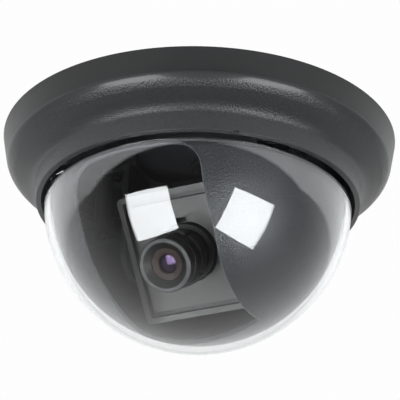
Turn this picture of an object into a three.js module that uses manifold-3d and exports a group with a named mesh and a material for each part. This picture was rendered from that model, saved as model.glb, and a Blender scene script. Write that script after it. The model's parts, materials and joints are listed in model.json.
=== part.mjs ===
// A small ceiling dome CCTV camera, in millimetres, +Z up.
// The origin is the centre of the ceiling face; everything hangs below it, and the lens looks
// towards -Y and down. The camera pans on a turntable, tilts in a yoke and sits behind a dark
// liner inside a clear dome, which a trim cover holds.

import * as THREE from 'three';
import { mergeVertices } from 'three/addons/utils/BufferGeometryUtils.js';
import Module from 'manifold-3d';

const wasm = await Module();
wasm.setup();

// ---------------------------------------------------------------- driving dimensions

const COVER_RADIUS = 52; // trim cover at the ceiling
const DOME_CENTRE_Z = -17.1; // centre of the dome's and the liner's spheres
const DOME_RADIUS = 40.6;
const DOME_WALL = 1.5;
const DOME_NECK_RADIUS = 40; // above a small step, so a dark groove shows round the dome
const DOME_STEP_Z = DOME_CENTRE_Z - 2.7;
const LINER_RADIUS = 38.4;
const LINER_WALL = 1.2;
const LINER_TOP = DOME_CENTRE_Z - 2.1;
const PIVOT_Z = -30.6; // the tilt axis runs along X through this height
const REST_TILT = THREE.MathUtils.degToRad(36.1); // lens axis below the horizon
const LENS_FRONT = 22.2; // front rim of the lens ahead of the tilt axis
const LENS_RADIUS = 7; // board lens with a 14 mm head
const LENS_THREAD_RADIUS = 6; // M12 thread
const MODULE_WIDTH = 33.4;
const MODULE_HEIGHT = 34;

const GAP = 0.3; // between pieces that touch
const PAST = 1; // how far a cutting tool runs past the face it cuts
const SHEET = 1.5; // yoke arms, module walls, clamps

// ---------------------------------------------------------------- faceting

const ROUND_SIDES = 40; // large turned pieces
const LENS_SIDES = 24;
const SCREW_SIDES = 8;
const CURVE_STEPS = 3; // points along each rounded stretch of a profile
const SPHERE_STEPS = 8; // from a sphere's equator to its pole

// ---------------------------------------------------------------- materials

function finish(color, roughness, metalness, opacity = 1) {
  return new THREE.MeshStandardMaterial({
    color,
    roughness,
    metalness,
    opacity,
    transparent: opacity < 1,
  });
}

const materials = {
  coverPlastic: () => finish(0x3d3e40, 0.55, 0),
  clearPlastic: () => finish(0xe9edf0, 0.05, 0, 0.25),
  linerPlastic: () => finish(0x3a3b3d, 0.7, 0),
  basePlastic: () => finish(0x2f3032, 0.6, 0),
  paintedSheet: () => finish(0x5f6062, 0.45, 0.3),
  steel: () => finish(0xb6b8ba, 0.3, 1),
  blackPlastic: () => finish(0x1b1b1a, 0.5, 0),
  lensBlack: () => finish(0x252628, 0.35, 0.2),
  rubber: () => finish(0x151515, 0.8, 0),
  bronze: () => finish(0x5b4738, 0.4, 0.6),
  lensGlass: () => finish(0x3b2d52, 0.03, 0, 0.6),
  circuitBoard: () => finish(0x1f5a35, 0.4, 0),
  chip: () => finish(0x202124, 0.35, 0),
  sensorGlass: () => finish(0x2a3038, 0.1, 0.2),
  capacitorCan: () => finish(0xa9abad, 0.3, 1),
  connector: () => finish(0xe6e2d4, 0.5, 0),
};

// ---------------------------------------------------------------- shapes

const SMALLEST_EDGE = 1e-4;

function toSolid(geometry) {
  const bare = geometry.clone();
  bare.deleteAttribute('normal');
  bare.deleteAttribute('uv');
  const welded = mergeVertices(bare, SMALLEST_EDGE);
  const corners = welded.index.array;
  const triangles = [];
  for (let i = 0; i < corners.length; i += 3) {
    const [a, b, c] = corners.slice(i, i + 3);
    if (a !== b && b !== c && c !== a) {
      triangles.push(a, b, c);
    }
  }
  return new wasm.Manifold(new wasm.Mesh({
    numProp: 3,
    vertProperties: Float32Array.from(welded.attributes.position.array),
    triVerts: Uint32Array.from(triangles),
  }));
}

function toGeometry(solid) {
  const mesh = solid.getMesh();
  const geometry = new THREE.BufferGeometry();
  geometry.setAttribute('position', new THREE.BufferAttribute(mesh.vertProperties, 3));
  geometry.setIndex(new THREE.BufferAttribute(mesh.triVerts, 1));
  return geometry;
}

function join(first, ...others) {
  return toGeometry(others.reduce((sum, other) => sum.add(toSolid(other)), toSolid(first)));
}

function cut(blank, ...tools) {
  return toGeometry(tools.reduce((rest, tool) => rest.subtract(toSolid(tool)), toSolid(blank)));
}

// Turns a closed [radius, z] outline about the Z axis.
function turned(outline, sides = ROUND_SIDES) {
  const points = outline.map(([radius, z]) => new THREE.Vector2(radius, z));
  if (THREE.ShapeUtils.area(points) < 0) {
    points.reverse();
  }
  points.push(points[0].clone());
  return new THREE.LatheGeometry(points, sides).rotateX(Math.PI / 2);
}

function disc(radius, top, bottom, sides = ROUND_SIDES) {
  return turned([[0, bottom], [radius, bottom], [radius, top], [0, top]], sides);
}

function ring(inner, outer, top, bottom, sides = ROUND_SIDES) {
  return turned([[inner, bottom], [outer, bottom], [outer, top], [inner, top]], sides);
}

// A drill along z, centred on a point given as [x, y].
function drill(radius, top, bottom, [x, y], sides = SCREW_SIDES) {
  return disc(radius, top, bottom, sides).translate(x, y, 0);
}

function block([x0, x1], [y0, y1], [z0, z1]) {
  const box = new THREE.BoxGeometry(x1 - x0, y1 - y0, z1 - z0);
  return box.translate((x0 + x1) / 2, (y0 + y1) / 2, (z0 + z1) / 2);
}

const X = new THREE.Vector3(1, 0, 0);
const Y = new THREE.Vector3(0, 1, 0);
const Z = new THREE.Vector3(0, 0, 1);

// Lays a piece made along z down to face forward: z becomes the distance ahead of the pivot.
const FACING_FORWARD = new THREE.Matrix4().makeBasis(X, Z, Y.clone().negate());

function facingForward(geometry) {
  return geometry.applyMatrix4(FACING_FORWARD);
}

function extruded(shape, depth) {
  return new THREE.ExtrudeGeometry(shape, { depth, bevelEnabled: false, curveSegments: CURVE_STEPS });
}

// A flat piece across the lens axis: its outline is drawn in x and z, between two y values.
function plateAcross(shape, front, back) {
  return facingForward(extruded(shape, back - front)).translate(0, back, 0);
}

// A flat piece beside the module: its outline is drawn in y and z, between two x values.
function plateBeside(shape, left, right) {
  const toYZ = new THREE.Matrix4().makeBasis(Y, Z, X);
  return extruded(shape, right - left).applyMatrix4(toYZ).translate(left, 0, 0);
}

function roundedRectangle(width, height, radius) {
  const shape = new THREE.Shape();
  const x = width / 2;
  const y = height / 2;
  shape.moveTo(x - radius, -y);
  shape.absarc(x - radius, radius - y, radius, -Math.PI / 2, 0);
  shape.absarc(x - radius, y - radius, radius, 0, Math.PI / 2);
  shape.absarc(radius - x, y - radius, radius, Math.PI / 2, Math.PI);
  shape.absarc(radius - x, radius - y, radius, Math.PI, Math.PI * 1.5);
  return shape;
}

// A pan-head screw: the shaft rises from z = 0, the head hangs below it with a cross recess.
function screw(headRadius, headHeight, shaftRadius, shaftLength) {
  const blank = turned([
    [0, -headHeight],
    [headRadius * 0.8, -headHeight],
    [headRadius, -headHeight * 0.6],
    [headRadius, 0],
    [shaftRadius, 0],
    [shaftRadius, shaftLength],
    [0, shaftLength],
  ], SCREW_SIDES);
  const reach = headRadius * 0.6;
  const slotHalf = headRadius * 0.12;
  const depth = [-2 * headHeight, -headHeight * 0.55];
  const cross = join(
    block([-reach, reach], [-slotHalf, slotHalf], depth),
    block([-slotHalf, slotHalf], [-reach, reach], depth),
  );
  return cut(blank, cross);
}

// A sphere's outline about the dome's centre, from a height at or below it to the south pole.
function sphereOutline(radius, top = DOME_CENTRE_Z) {
  const start = Math.asin((DOME_CENTRE_Z - top) / radius);
  const points = [];
  for (let step = 0; step < SPHERE_STEPS; step += 1) {
    const angle = start + (step / SPHERE_STEPS) * (Math.PI / 2 - start);
    points.push([radius * Math.cos(angle), DOME_CENTRE_Z - radius * Math.sin(angle)]);
  }
  points.push([0, DOME_CENTRE_Z - radius]);
  return points;
}

function onCircle(radius, degrees) {
  const angle = THREE.MathUtils.degToRad(degrees);
  return [radius * Math.cos(angle), radius * Math.sin(angle)];
}

// ---------------------------------------------------------------- assembly

const camera = new THREE.Group();
const tilting = new THREE.Group(); // the camera module: y runs back along the lens axis
tilting.position.z = PIVOT_Z;
tilting.rotation.x = REST_TILT;
camera.add(tilting);

function place(name, geometry, material, group = camera) {
  geometry.computeVertexNormals();
  const mesh = new THREE.Mesh(geometry, material());
  mesh.name = name;
  group.add(mesh);
}

// ---------------------------------------------------------------- base

const BASE_RADIUS = COVER_RADIUS - 3.2;
const BASE_BOTTOM = -2.5;
const SKIRT_BOTTOM = -4.8;
const SKIRT_WALL = 1.6;
const SLOT_CENTRE_RADIUS = 42;
const SLOT_LENGTH = 10;
const SLOT_WIDTH = 5;
const CABLE_Y = 9;
const CABLE_HOLE_RADIUS = 4.6;
const GROMMET_BORE = 3.2;
const GROMMET_FLANGE = 1.6; // how far the flange reaches past the hole
const GROMMET_FLANGE_THICKNESS = 1.2;

function mountingSlot(degrees) {
  const slot = new THREE.Shape();
  const end = SLOT_LENGTH / 2 - SLOT_WIDTH / 2;
  slot.absarc(0, end, SLOT_WIDTH / 2, 0, Math.PI);
  slot.absarc(0, -end, SLOT_WIDTH / 2, Math.PI, 2 * Math.PI);
  const tool = extruded(slot, 2 * PAST - BASE_BOTTOM).translate(SLOT_CENTRE_RADIUS, 0, BASE_BOTTOM - PAST);
  return tool.rotateZ(THREE.MathUtils.degToRad(degrees));
}

function basePlate() {
  const blank = turned([
    [0, 0],
    [BASE_RADIUS, 0],
    [BASE_RADIUS, SKIRT_BOTTOM],
    [BASE_RADIUS - SKIRT_WALL, SKIRT_BOTTOM],
    [BASE_RADIUS - SKIRT_WALL, BASE_BOTTOM],
    [0, BASE_BOTTOM],
  ]);
  const cableHole = drill(CABLE_HOLE_RADIUS, PAST, BASE_BOTTOM - PAST, [0, CABLE_Y], LENS_SIDES);
  const clampHoles = CLAMP_ANGLES.map(clampScrewHole);
  return cut(blank, cableHole, ...[0, 90, 180, 270].map(mountingSlot), ...clampHoles);
}

function cableGrommet() {
  const neck = CABLE_HOLE_RADIUS - GAP;
  const flange = CABLE_HOLE_RADIUS + GROMMET_FLANGE;
  const flangeTop = BASE_BOTTOM - GAP;
  const flangeBottom = flangeTop - GROMMET_FLANGE_THICKNESS;
  const outline = [
    [GROMMET_BORE, -GAP],
    [neck, -GAP],
    [neck, flangeTop],
    [flange, flangeTop],
    [flange, flangeBottom],
    [GROMMET_BORE, flangeBottom],
  ];
  return turned(outline, LENS_SIDES).translate(0, CABLE_Y, 0);
}

// ---------------------------------------------------------------- turntable and its clamps

const TABLE_TOP = BASE_BOTTOM - 0.4;
const TABLE_BOTTOM = TABLE_TOP - 2;
const TABLE_OUTER = 33;
const TABLE_INNER = 17;
const CLAMP_ANGLES = [90, 210, 330];
const CLAMP_SCREW_RADIUS = 36.2;
const CLAMP_WIDTH = 9;
const CLAMP_LIP = 2; // how far the lip reaches under the turntable
const CLAMP_FOOT = [TABLE_OUTER + 1, TABLE_OUTER + 5.5];
const CLAMP_BOTTOM = TABLE_BOTTOM - GAP - SHEET;
const CLAMP_HOLE_TOP = BASE_BOTTOM / 2; // the screw bites halfway into the base
const FIXING_SHAFT = 0.9; // all the small self-tapping screws
const FIXING_HOLE = FIXING_SHAFT + GAP;
const FIXING_HEAD_RADIUS = 1.5;
const FIXING_HEAD_HEIGHT = 1.2;

function clampScrewHole(degrees) {
  return drill(FIXING_HOLE, CLAMP_HOLE_TOP, CLAMP_BOTTOM - PAST, onCircle(CLAMP_SCREW_RADIUS, degrees));
}

// An L-shaped clip whose lip carries the edge of the turntable.
function panClamp(degrees) {
  const half = CLAMP_WIDTH / 2;
  const lipEnds = [TABLE_OUTER - CLAMP_LIP, CLAMP_FOOT[0] + PAST];
  const foot = block(CLAMP_FOOT, [-half, half], [CLAMP_BOTTOM, BASE_BOTTOM - GAP]);
  const lip = block(lipEnds, [-half, half], [CLAMP_BOTTOM, TABLE_BOTTOM - GAP]);
  const clip = join(foot, lip).rotateZ(THREE.MathUtils.degToRad(degrees));
  return cut(clip, clampScrewHole(degrees));
}

function fixingScrew(shaftLength) {
  return screw(FIXING_HEAD_RADIUS, FIXING_HEAD_HEIGHT, FIXING_SHAFT, shaftLength);
}

function panClampScrew(degrees) {
  const [x, y] = onCircle(CLAMP_SCREW_RADIUS, degrees);
  const seat = CLAMP_BOTTOM - GAP;
  return fixingScrew(CLAMP_HOLE_TOP - GAP - seat).translate(x, y, seat);
}

// ---------------------------------------------------------------- yoke

const BOSS_HEIGHT = 0.9; // pivot bosses on the module's sides
const BOSS_OUT = MODULE_WIDTH / 2 + BOSS_HEIGHT;
const ARM_INSIDE = BOSS_OUT + GAP;
const ARM_OUTSIDE = ARM_INSIDE + SHEET;
const ARM_HALF_WIDTH = 6;
const ARM_TOP = TABLE_BOTTOM - GAP;
const FOOT_END = 26;
const FOOT_SCREW_X = 22.7;
const FOOT_SCREW_Y = 3.6;
const TILT_SHAFT = 1.5;
const TILT_HEAD_RADIUS = 2.6;
const TILT_HEAD_HEIGHT = 1.6;
const SIDES = { left: -1, right: 1 };

function footScrewPlaces(side) {
  return [-1, 1].map((way) => [side * FOOT_SCREW_X, way * FOOT_SCREW_Y]);
}

function yokeArm(side) {
  const outline = new THREE.Shape();
  outline.moveTo(-ARM_HALF_WIDTH, ARM_TOP);
  outline.lineTo(-ARM_HALF_WIDTH, PIVOT_Z);
  outline.absarc(0, PIVOT_Z, ARM_HALF_WIDTH, Math.PI, 2 * Math.PI);
  outline.lineTo(ARM_HALF_WIDTH, ARM_TOP);
  const pivotHole = new THREE.Path();
  pivotHole.absarc(0, PIVOT_Z, TILT_SHAFT + GAP, 0, 2 * Math.PI);
  outline.holes.push(pivotHole);
  const upright = plateBeside(outline, ARM_INSIDE, ARM_OUTSIDE);
  const foot = block([ARM_INSIDE, FOOT_END], [-ARM_HALF_WIDTH, ARM_HALF_WIDTH], [ARM_TOP - SHEET, ARM_TOP]);
  const bracket = join(upright, foot);
  const screwHoles = footScrewPlaces(1).map((spot) =>
    drill(FIXING_HOLE, ARM_TOP + PAST, ARM_TOP - SHEET - PAST, spot));
  const arm = cut(bracket, ...screwHoles);
  return side > 0 ? arm : arm.rotateZ(Math.PI);
}

function yokeScrew([x, y]) {
  const seat = ARM_TOP - SHEET - GAP;
  return fixingScrew(TABLE_TOP - GAP - seat).translate(x, y, seat);
}

// ---------------------------------------------------------------- liner and its posts

const POST_X = 28.6;
const POST_RADIUS = 2.2;
const POST_BOTTOM = LINER_TOP + GAP;
const POST_GRIP = 4; // how far a liner screw reaches into its post
const TAB_BOTTOM = LINER_TOP - 1.8;
const TAB_INNER_X = 24.5;
const TAB_HALF_WIDTH = 4;
const LINER_INSIDE = LINER_RADIUS - LINER_WALL;
const POST_PLACES = Object.values(SIDES).map((side) => [side * POST_X, 0]);

const SLOT_TOP_Z = DOME_CENTRE_Z - 3;
const SLOT_CORNER = 6;
const SLOT_HALF_WIDTH = 17.8;
const SLOT_WAIST_Z = -40;
const SLOT_FOOT_HALF_WIDTH = 15.3;
const SLOT_FOOT_Z = -53;
const SLOT_END_Y = 5.2; // just past the bottom of the liner
const SLOT_TURN = THREE.MathUtils.degToRad(-1.3); // the slot sits a little round towards -X

function turntable() {
  const plate = ring(TABLE_INNER, TABLE_OUTER, TABLE_TOP, TABLE_BOTTOM);
  const posts = POST_PLACES.map((spot) => drill(POST_RADIUS, TABLE_BOTTOM + PAST, POST_BOTTOM, spot));
  const postHoles = POST_PLACES.map((spot) =>
    drill(FIXING_HOLE, POST_BOTTOM + POST_GRIP + GAP, POST_BOTTOM - PAST, spot));
  const footHoles = Object.values(SIDES).flatMap(footScrewPlaces).map((spot) =>
    drill(FIXING_HOLE, TABLE_TOP + PAST, TABLE_BOTTOM - PAST, spot));
  return cut(join(plate, ...posts), ...postHoles, ...footHoles);
}

// The opening the lens looks through: drawn from the front and cut back past the pole.
function linerSlot() {
  const outline = new THREE.Shape();
  const corner = SLOT_HALF_WIDTH - SLOT_CORNER;
  const past = DOME_CENTRE_Z - DOME_RADIUS;
  outline.moveTo(-SLOT_FOOT_HALF_WIDTH, past);
  outline.lineTo(SLOT_FOOT_HALF_WIDTH, past);
  outline.lineTo(SLOT_FOOT_HALF_WIDTH, SLOT_FOOT_Z);
  outline.lineTo(SLOT_HALF_WIDTH, SLOT_WAIST_Z);
  outline.absarc(corner, SLOT_TOP_Z - SLOT_CORNER, SLOT_CORNER, 0, Math.PI / 2);
  outline.absarc(-corner, SLOT_TOP_Z - SLOT_CORNER, SLOT_CORNER, Math.PI / 2, Math.PI);
  outline.lineTo(-SLOT_HALF_WIDTH, SLOT_WAIST_Z);
  outline.lineTo(-SLOT_FOOT_HALF_WIDTH, SLOT_FOOT_Z);
  return plateAcross(outline, -LINER_RADIUS - PAST, SLOT_END_Y).rotateZ(SLOT_TURN);
}

function innerLiner() {
  const inside = sphereOutline(LINER_INSIDE, LINER_TOP).reverse();
  const shell = turned([...sphereOutline(LINER_RADIUS, LINER_TOP), ...inside]);
  const tabs = Object.values(SIDES).map((side) => {
    const ends = [side * TAB_INNER_X, side * (LINER_INSIDE + GAP)].sort((a, b) => a - b);
    return block(ends, [-TAB_HALF_WIDTH, TAB_HALF_WIDTH], [TAB_BOTTOM, LINER_TOP]);
  });
  const holes = POST_PLACES.map((spot) => drill(FIXING_HOLE, LINER_TOP + PAST, TAB_BOTTOM - PAST, spot));
  return cut(join(shell, ...tabs), linerSlot(), ...holes);
}

function linerScrew(side) {
  const seat = TAB_BOTTOM - GAP;
  return fixingScrew(POST_BOTTOM + POST_GRIP - seat).translate(side * POST_X, 0, seat);
}

// ---------------------------------------------------------------- camera module
// In the tilting group: y = 0 is the tilt axis and the lens axis is x = z = 0.

const FRAME_FRONT = -5.6;
const FRAME_BACK = 7;
const INNER_WIDTH = MODULE_WIDTH - 2 * SHEET;
const INNER_HEIGHT = MODULE_HEIGHT - 2 * SHEET;
const PLATE_MARGIN = 1.1; // dark line between the front plate and the frame
const PLATE_BACK = FRAME_FRONT + SHEET;
const LEDGE_FRONT = PLATE_BACK + GAP;
const LEDGE_BACK = LEDGE_FRONT + 1.2;
const LEDGE_OPENING = 20;
const PILOT_DEPTH = 0.8; // blind screw holes in the back of the front plate
const SENSOR_BOARD_FRONT = 1.3;
const SENSOR_BOARD_BACK = SENSOR_BOARD_FRONT + 1.6;
const POWER_BOARD_FRONT = 5.2;
const POWER_BOARD_BACK = POWER_BOARD_FRONT + 1.4;
const BOARD_SIZE = INNER_WIDTH - 2 * GAP;
const BOARD_SCREW = 12.8; // from the lens axis, both ways
const CORNERS = [[1, 1], [-1, 1], [-1, -1], [1, -1]];
const COLUMN_RADIUS = 2.2; // screw columns behind the module's ledge
const BOSS_RADIUS = 3.4; // pivot bosses on its sides
const SENSOR_SIZE = 9;
const SENSOR_THICKNESS = 0.9;
const CHIP_SIZE = 8;
const CHIP_THICKNESS = 1.2;
const PART_HEIGHT = 4; // connector and capacitors on the power board
const CONNECTOR = { left: -5, right: 5, bottom: -9, top: -4, wall: 0.8 };
const CAPACITOR_RADIUS = 2.5;
const CAPACITOR_Z = 6;

function boardScrewHole([sx, sz], front, back) {
  const hole = facingForward(disc(FIXING_HOLE, -front, -back, SCREW_SIDES));
  return hole.translate(sx * BOARD_SCREW, 0, sz * BOARD_SCREW);
}

function crossRod(radius, from, to, sides = LENS_SIDES) {
  return disc(radius, to, from, sides).rotateY(Math.PI / 2);
}

function moduleFrame() {
  const walls = roundedRectangle(MODULE_WIDTH, MODULE_HEIGHT, 1.6);
  walls.holes.push(roundedRectangle(INNER_WIDTH, INNER_HEIGHT, 0.6));
  const ledge = roundedRectangle(MODULE_WIDTH - SHEET, MODULE_HEIGHT - SHEET, 1);
  ledge.holes.push(roundedRectangle(LEDGE_OPENING, LEDGE_OPENING, 2));
  const columns = CORNERS.map(([sx, sz]) =>
    facingForward(disc(COLUMN_RADIUS, -LEDGE_BACK + 0.5, GAP - SENSOR_BOARD_FRONT, SCREW_SIDES))
      .translate(sx * BOARD_SCREW, 0, sz * BOARD_SCREW));
  const wallMiddle = (MODULE_WIDTH - SHEET) / 2;
  const bosses = [
    crossRod(BOSS_RADIUS, wallMiddle, BOSS_OUT),
    crossRod(BOSS_RADIUS, -BOSS_OUT, -wallMiddle),
  ];
  const frame = join(
    plateAcross(walls, FRAME_FRONT, FRAME_BACK),
    plateAcross(ledge, LEDGE_FRONT, LEDGE_BACK),
    ...columns,
    ...bosses,
  );
  const screwHoles = CORNERS.map((corner) => boardScrewHole(corner, LEDGE_FRONT - PAST, FRAME_BACK));
  const pivotBore = crossRod(TILT_SHAFT + GAP, -BOSS_OUT - PAST, BOSS_OUT + PAST);
  return cut(frame, ...screwHoles, pivotBore);
}

const HOLDER_RADIUS = 7.5;
const WINDOW_RADIUS = HOLDER_RADIUS + 0.4; // in the front plate
const NOTCH = { halfWidth: 1.45, top: WINDOW_RADIUS + 1.3 }; // key notch above the window
const HOLDER_FRONT = -7.2;
const HOLDER_BASE_FRONT = -1.2;
const HOLDER_BACK = SENSOR_BOARD_FRONT - GAP;
const HOLDER_BASE = 19;
const SENSOR_POCKET = 13;

function frontPlate() {
  const width = INNER_WIDTH - 2 * PLATE_MARGIN;
  const height = INNER_HEIGHT - 2 * PLATE_MARGIN;
  const blank = plateAcross(roundedRectangle(width, height, 1.2), FRAME_FRONT, PLATE_BACK);
  const window = facingForward(disc(WINDOW_RADIUS, PAST - FRAME_FRONT, -PLATE_BACK - PAST, LENS_SIDES));
  const keyNotch = block(
    [-NOTCH.halfWidth, NOTCH.halfWidth],
    [FRAME_FRONT - PAST, PLATE_BACK + PAST],
    [0, NOTCH.top],
  );
  const pilots = CORNERS.map((corner) => boardScrewHole(corner, PLATE_BACK - PILOT_DEPTH, PLATE_BACK + PAST));
  return cut(blank, window, keyNotch, ...pilots);
}

function lensHolder() {
  const tower = facingForward(disc(HOLDER_RADIUS, -HOLDER_FRONT, -HOLDER_BASE_FRONT - 0.5, LENS_SIDES));
  const base = plateAcross(roundedRectangle(HOLDER_BASE, HOLDER_BASE, 2), HOLDER_BASE_FRONT, HOLDER_BACK);
  const threadBore = facingForward(disc(LENS_THREAD_RADIUS + GAP, PAST - HOLDER_FRONT, 0, LENS_SIDES));
  const pocket = block(
    [-SENSOR_POCKET / 2, SENSOR_POCKET / 2],
    [HOLDER_BASE_FRONT, HOLDER_BACK + PAST],
    [-SENSOR_POCKET / 2, SENSOR_POCKET / 2],
  );
  const lockHole = drill(SET_SCREW_RADIUS + GAP, HOLDER_RADIUS + PAST, 0, [0, SET_SCREW_Y]);
  return cut(join(tower, base), threadBore, pocket, lockHole);
}

const SET_SCREW_RADIUS = 0.8;
const SET_SCREW_Y = -3.2;

function lensSetScrew() {
  return drill(SET_SCREW_RADIUS, HOLDER_RADIUS, LENS_THREAD_RADIUS + GAP, [0, SET_SCREW_Y]);
}

function imageSensor() {
  const outline = roundedRectangle(SENSOR_SIZE, SENSOR_SIZE, 0.4);
  return plateAcross(outline, HOLDER_BACK - SENSOR_THICKNESS, HOLDER_BACK);
}

function circuitBoard(front, back) {
  const blank = plateAcross(roundedRectangle(BOARD_SIZE, BOARD_SIZE, 0.8), front, back);
  return cut(blank, ...CORNERS.map((corner) => boardScrewHole(corner, front - PAST, back + PAST)));
}

function processorChip() {
  const front = SENSOR_BOARD_BACK + GAP;
  return plateAcross(roundedRectangle(CHIP_SIZE, CHIP_SIZE, 0.3), front, front + CHIP_THICKNESS);
}

function boardSpacer([sx, sz]) {
  const front = SENSOR_BOARD_BACK + GAP;
  const back = POWER_BOARD_FRONT - GAP;
  const tube = ring(FIXING_HOLE, FIXING_HOLE + 0.8, -front, -back, SCREW_SIDES);
  return facingForward(tube).translate(sx * BOARD_SCREW, 0, sz * BOARD_SCREW);
}

function boardScrew([sx, sz]) {
  const seat = POWER_BOARD_BACK + GAP;
  const tip = PLATE_BACK - PILOT_DEPTH + GAP;
  const fixing = fixingScrew(seat - tip).applyMatrix4(FACING_FORWARD);
  return fixing.translate(sx * BOARD_SCREW, seat, sz * BOARD_SCREW);
}

function powerConnector() {
  const front = POWER_BOARD_BACK + GAP;
  const { left, right, bottom, top, wall } = CONNECTOR;
  const shell = block([left, right], [front, front + PART_HEIGHT], [bottom, top]);
  const socket = block(
    [left + wall, right - wall],
    [front + wall, front + PART_HEIGHT + PAST],
    [bottom + wall, top - wall],
  );
  return cut(shell, socket);
}

function capacitor(x) {
  const front = POWER_BOARD_BACK + GAP;
  const can = disc(CAPACITOR_RADIUS, -front, -front - PART_HEIGHT, SCREW_SIDES);
  return facingForward(can).translate(x, 0, CAPACITOR_Z);
}

function tiltScrew(side) {
  const seat = ARM_OUTSIDE + GAP;
  const shaftLength = seat - (INNER_WIDTH / 2 + GAP);
  const pivot = screw(TILT_HEAD_RADIUS, TILT_HEAD_HEIGHT, TILT_SHAFT, shaftLength);
  return pivot.rotateY((-side * Math.PI) / 2).translate(side * seat, 0, 0);
}

// ---------------------------------------------------------------- lens
// Turned about the lens axis; z is the distance ahead of the tilt axis until it is turned.

const LENS_HEAD_BACK = LENS_FRONT - 7;
const LENS_RIM = 1.1; // width of the flat front rim
const FUNNEL_DEPTH = 1.4; // of the shallow cone inside the rim
const LENS_TAIL = 2.6;
const LOCK_RING_WIDTH = 2.6;
const GRIP_DEPTH = 0.6; // notches in the lock ring's rim
const GRIP_ANGLES = [40, 130, 220, 310];
const FRONT_BORE = 4.2;
const RETAINER_BORE = 2.35;
const TAIL_BORE = 3;
const FRONT_SEAT = LENS_FRONT - 4.3;
const REAR_SEAT = LENS_TAIL + 1.9;

function lensBarrel() {
  return facingForward(turned([
    [LENS_RADIUS - LENS_RIM, LENS_FRONT],
    [LENS_RADIUS - 0.2, LENS_FRONT],
    [LENS_RADIUS, LENS_FRONT - 0.2],
    [LENS_RADIUS, LENS_HEAD_BACK],
    [LENS_THREAD_RADIUS, LENS_HEAD_BACK],
    [LENS_THREAD_RADIUS, LENS_TAIL],
    [FRONT_BORE, LENS_TAIL],
    [FRONT_BORE, REAR_SEAT],
    [TAIL_BORE, REAR_SEAT],
    [TAIL_BORE, FRONT_SEAT],
    [FRONT_BORE, FRONT_SEAT],
    [FRONT_BORE, LENS_FRONT - FUNNEL_DEPTH],
  ], LENS_SIDES));
}

function frontRetainingRing() {
  const front = LENS_FRONT - FUNNEL_DEPTH - 0.1;
  const back = front - 0.9;
  return facingForward(turned([
    [RETAINER_BORE + 0.4, front],
    [FRONT_BORE - GAP, front],
    [FRONT_BORE - GAP, back],
    [RETAINER_BORE, back],
    [RETAINER_BORE, front - 0.4],
  ], LENS_SIDES));
}

function frontElement() {
  const rim = FRONT_BORE - GAP;
  const back = FRONT_SEAT + GAP;
  const dome = new THREE.Path();
  dome.moveTo(rim, back + 0.9);
  dome.quadraticCurveTo(rim / 2, back + 1.35, 0, back + 1.4);
  const front = dome.getPoints(CURVE_STEPS).map(({ x, y }) => [x, y]);
  return facingForward(turned([[0, back], [rim, back], ...front], LENS_SIDES));
}

function rearElement() {
  return facingForward(disc(FRONT_BORE - GAP, REAR_SEAT - GAP, LENS_TAIL + GAP, LENS_SIDES));
}

function lensLockRing() {
  const outer = LENS_RADIUS + GRIP_DEPTH;
  const front = LENS_HEAD_BACK - GAP;
  const back = front - LOCK_RING_WIDTH;
  const body = facingForward(ring(LENS_THREAD_RADIUS + GAP, outer, front, back, LENS_SIDES));
  const grips = GRIP_ANGLES.map((degrees) =>
    block([outer - GRIP_DEPTH, outer + PAST], [-front - PAST, -back + PAST], [-GRIP_DEPTH, GRIP_DEPTH])
      .rotateY(THREE.MathUtils.degToRad(degrees)));
  return cut(body, ...grips);
}

// ---------------------------------------------------------------- cover and clear dome

const COVER_TOP = -0.2;
const LIP_INSIDE = DOME_RADIUS + 0.7;
const LIP_BOTTOM = -18.7;
const SHELF_Z = -9.6;
const FLANGE_RADIUS = DOME_RADIUS + 2.4;
const FLANGE_BOTTOM = SHELF_Z + GAP;
const FLANGE_TOP = FLANGE_BOTTOM + 1.5;
const RING_BOTTOM = FLANGE_TOP + GAP;
const RING_TOP = RING_BOTTOM + 1.5;
const RING_SCREW_RADIUS = 45.2;
const RING_SCREW_ANGLES = [45, 135, 225, 315];
const RIB_ANGLES = [45, 165, 285]; // friction ribs that grip the base
const RIB_HALF_WIDTH = 1;
const RIB_HEIGHTS = [-5.5, -1];
const RING_BOSS_RADIUS = 1.8;
const RING_BOSS_BOTTOM = SHELF_Z - 1; // sunk into the cover's wall
const RING_HOLE_BOTTOM = SHELF_Z - 0.6;

function ringScrewHole(degrees) {
  return drill(FIXING_HOLE, RING_TOP + PAST, RING_HOLE_BOTTOM, onCircle(RING_SCREW_RADIUS, degrees));
}

// A smooth band, a rounded shoulder, a slope, a hollow fillet and a thin upright lip.
function coverOutline() {
  const path = new THREE.Path();
  path.moveTo(COVER_RADIUS, COVER_TOP);
  path.lineTo(COVER_RADIUS - 1, -6.2);
  path.quadraticCurveTo(COVER_RADIUS - 1.3, -8.15, COVER_RADIUS - 3.6, -9.9);
  path.lineTo(COVER_RADIUS - 6.2, -11.2);
  path.quadraticCurveTo(LIP_INSIDE + 2, -12.2, LIP_INSIDE + 1.75, -13.6);
  path.lineTo(LIP_INSIDE + 1.4, LIP_BOTTOM + 0.8);
  path.quadraticCurveTo(LIP_INSIDE + 1.35, LIP_BOTTOM, LIP_INSIDE + 0.6, LIP_BOTTOM);
  path.lineTo(LIP_INSIDE, LIP_BOTTOM);
  path.lineTo(LIP_INSIDE, SHELF_Z);
  path.lineTo(COVER_RADIUS - 7.4, SHELF_Z);
  path.lineTo(COVER_RADIUS - 5.1, -8.7);
  path.quadraticCurveTo(COVER_RADIUS - 3.1, -7.7, COVER_RADIUS - 2.8, -5.8);
  path.lineTo(COVER_RADIUS - 2, COVER_TOP);
  return path.getPoints(CURVE_STEPS).map(({ x, y }) => [x, y]);
}

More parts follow.
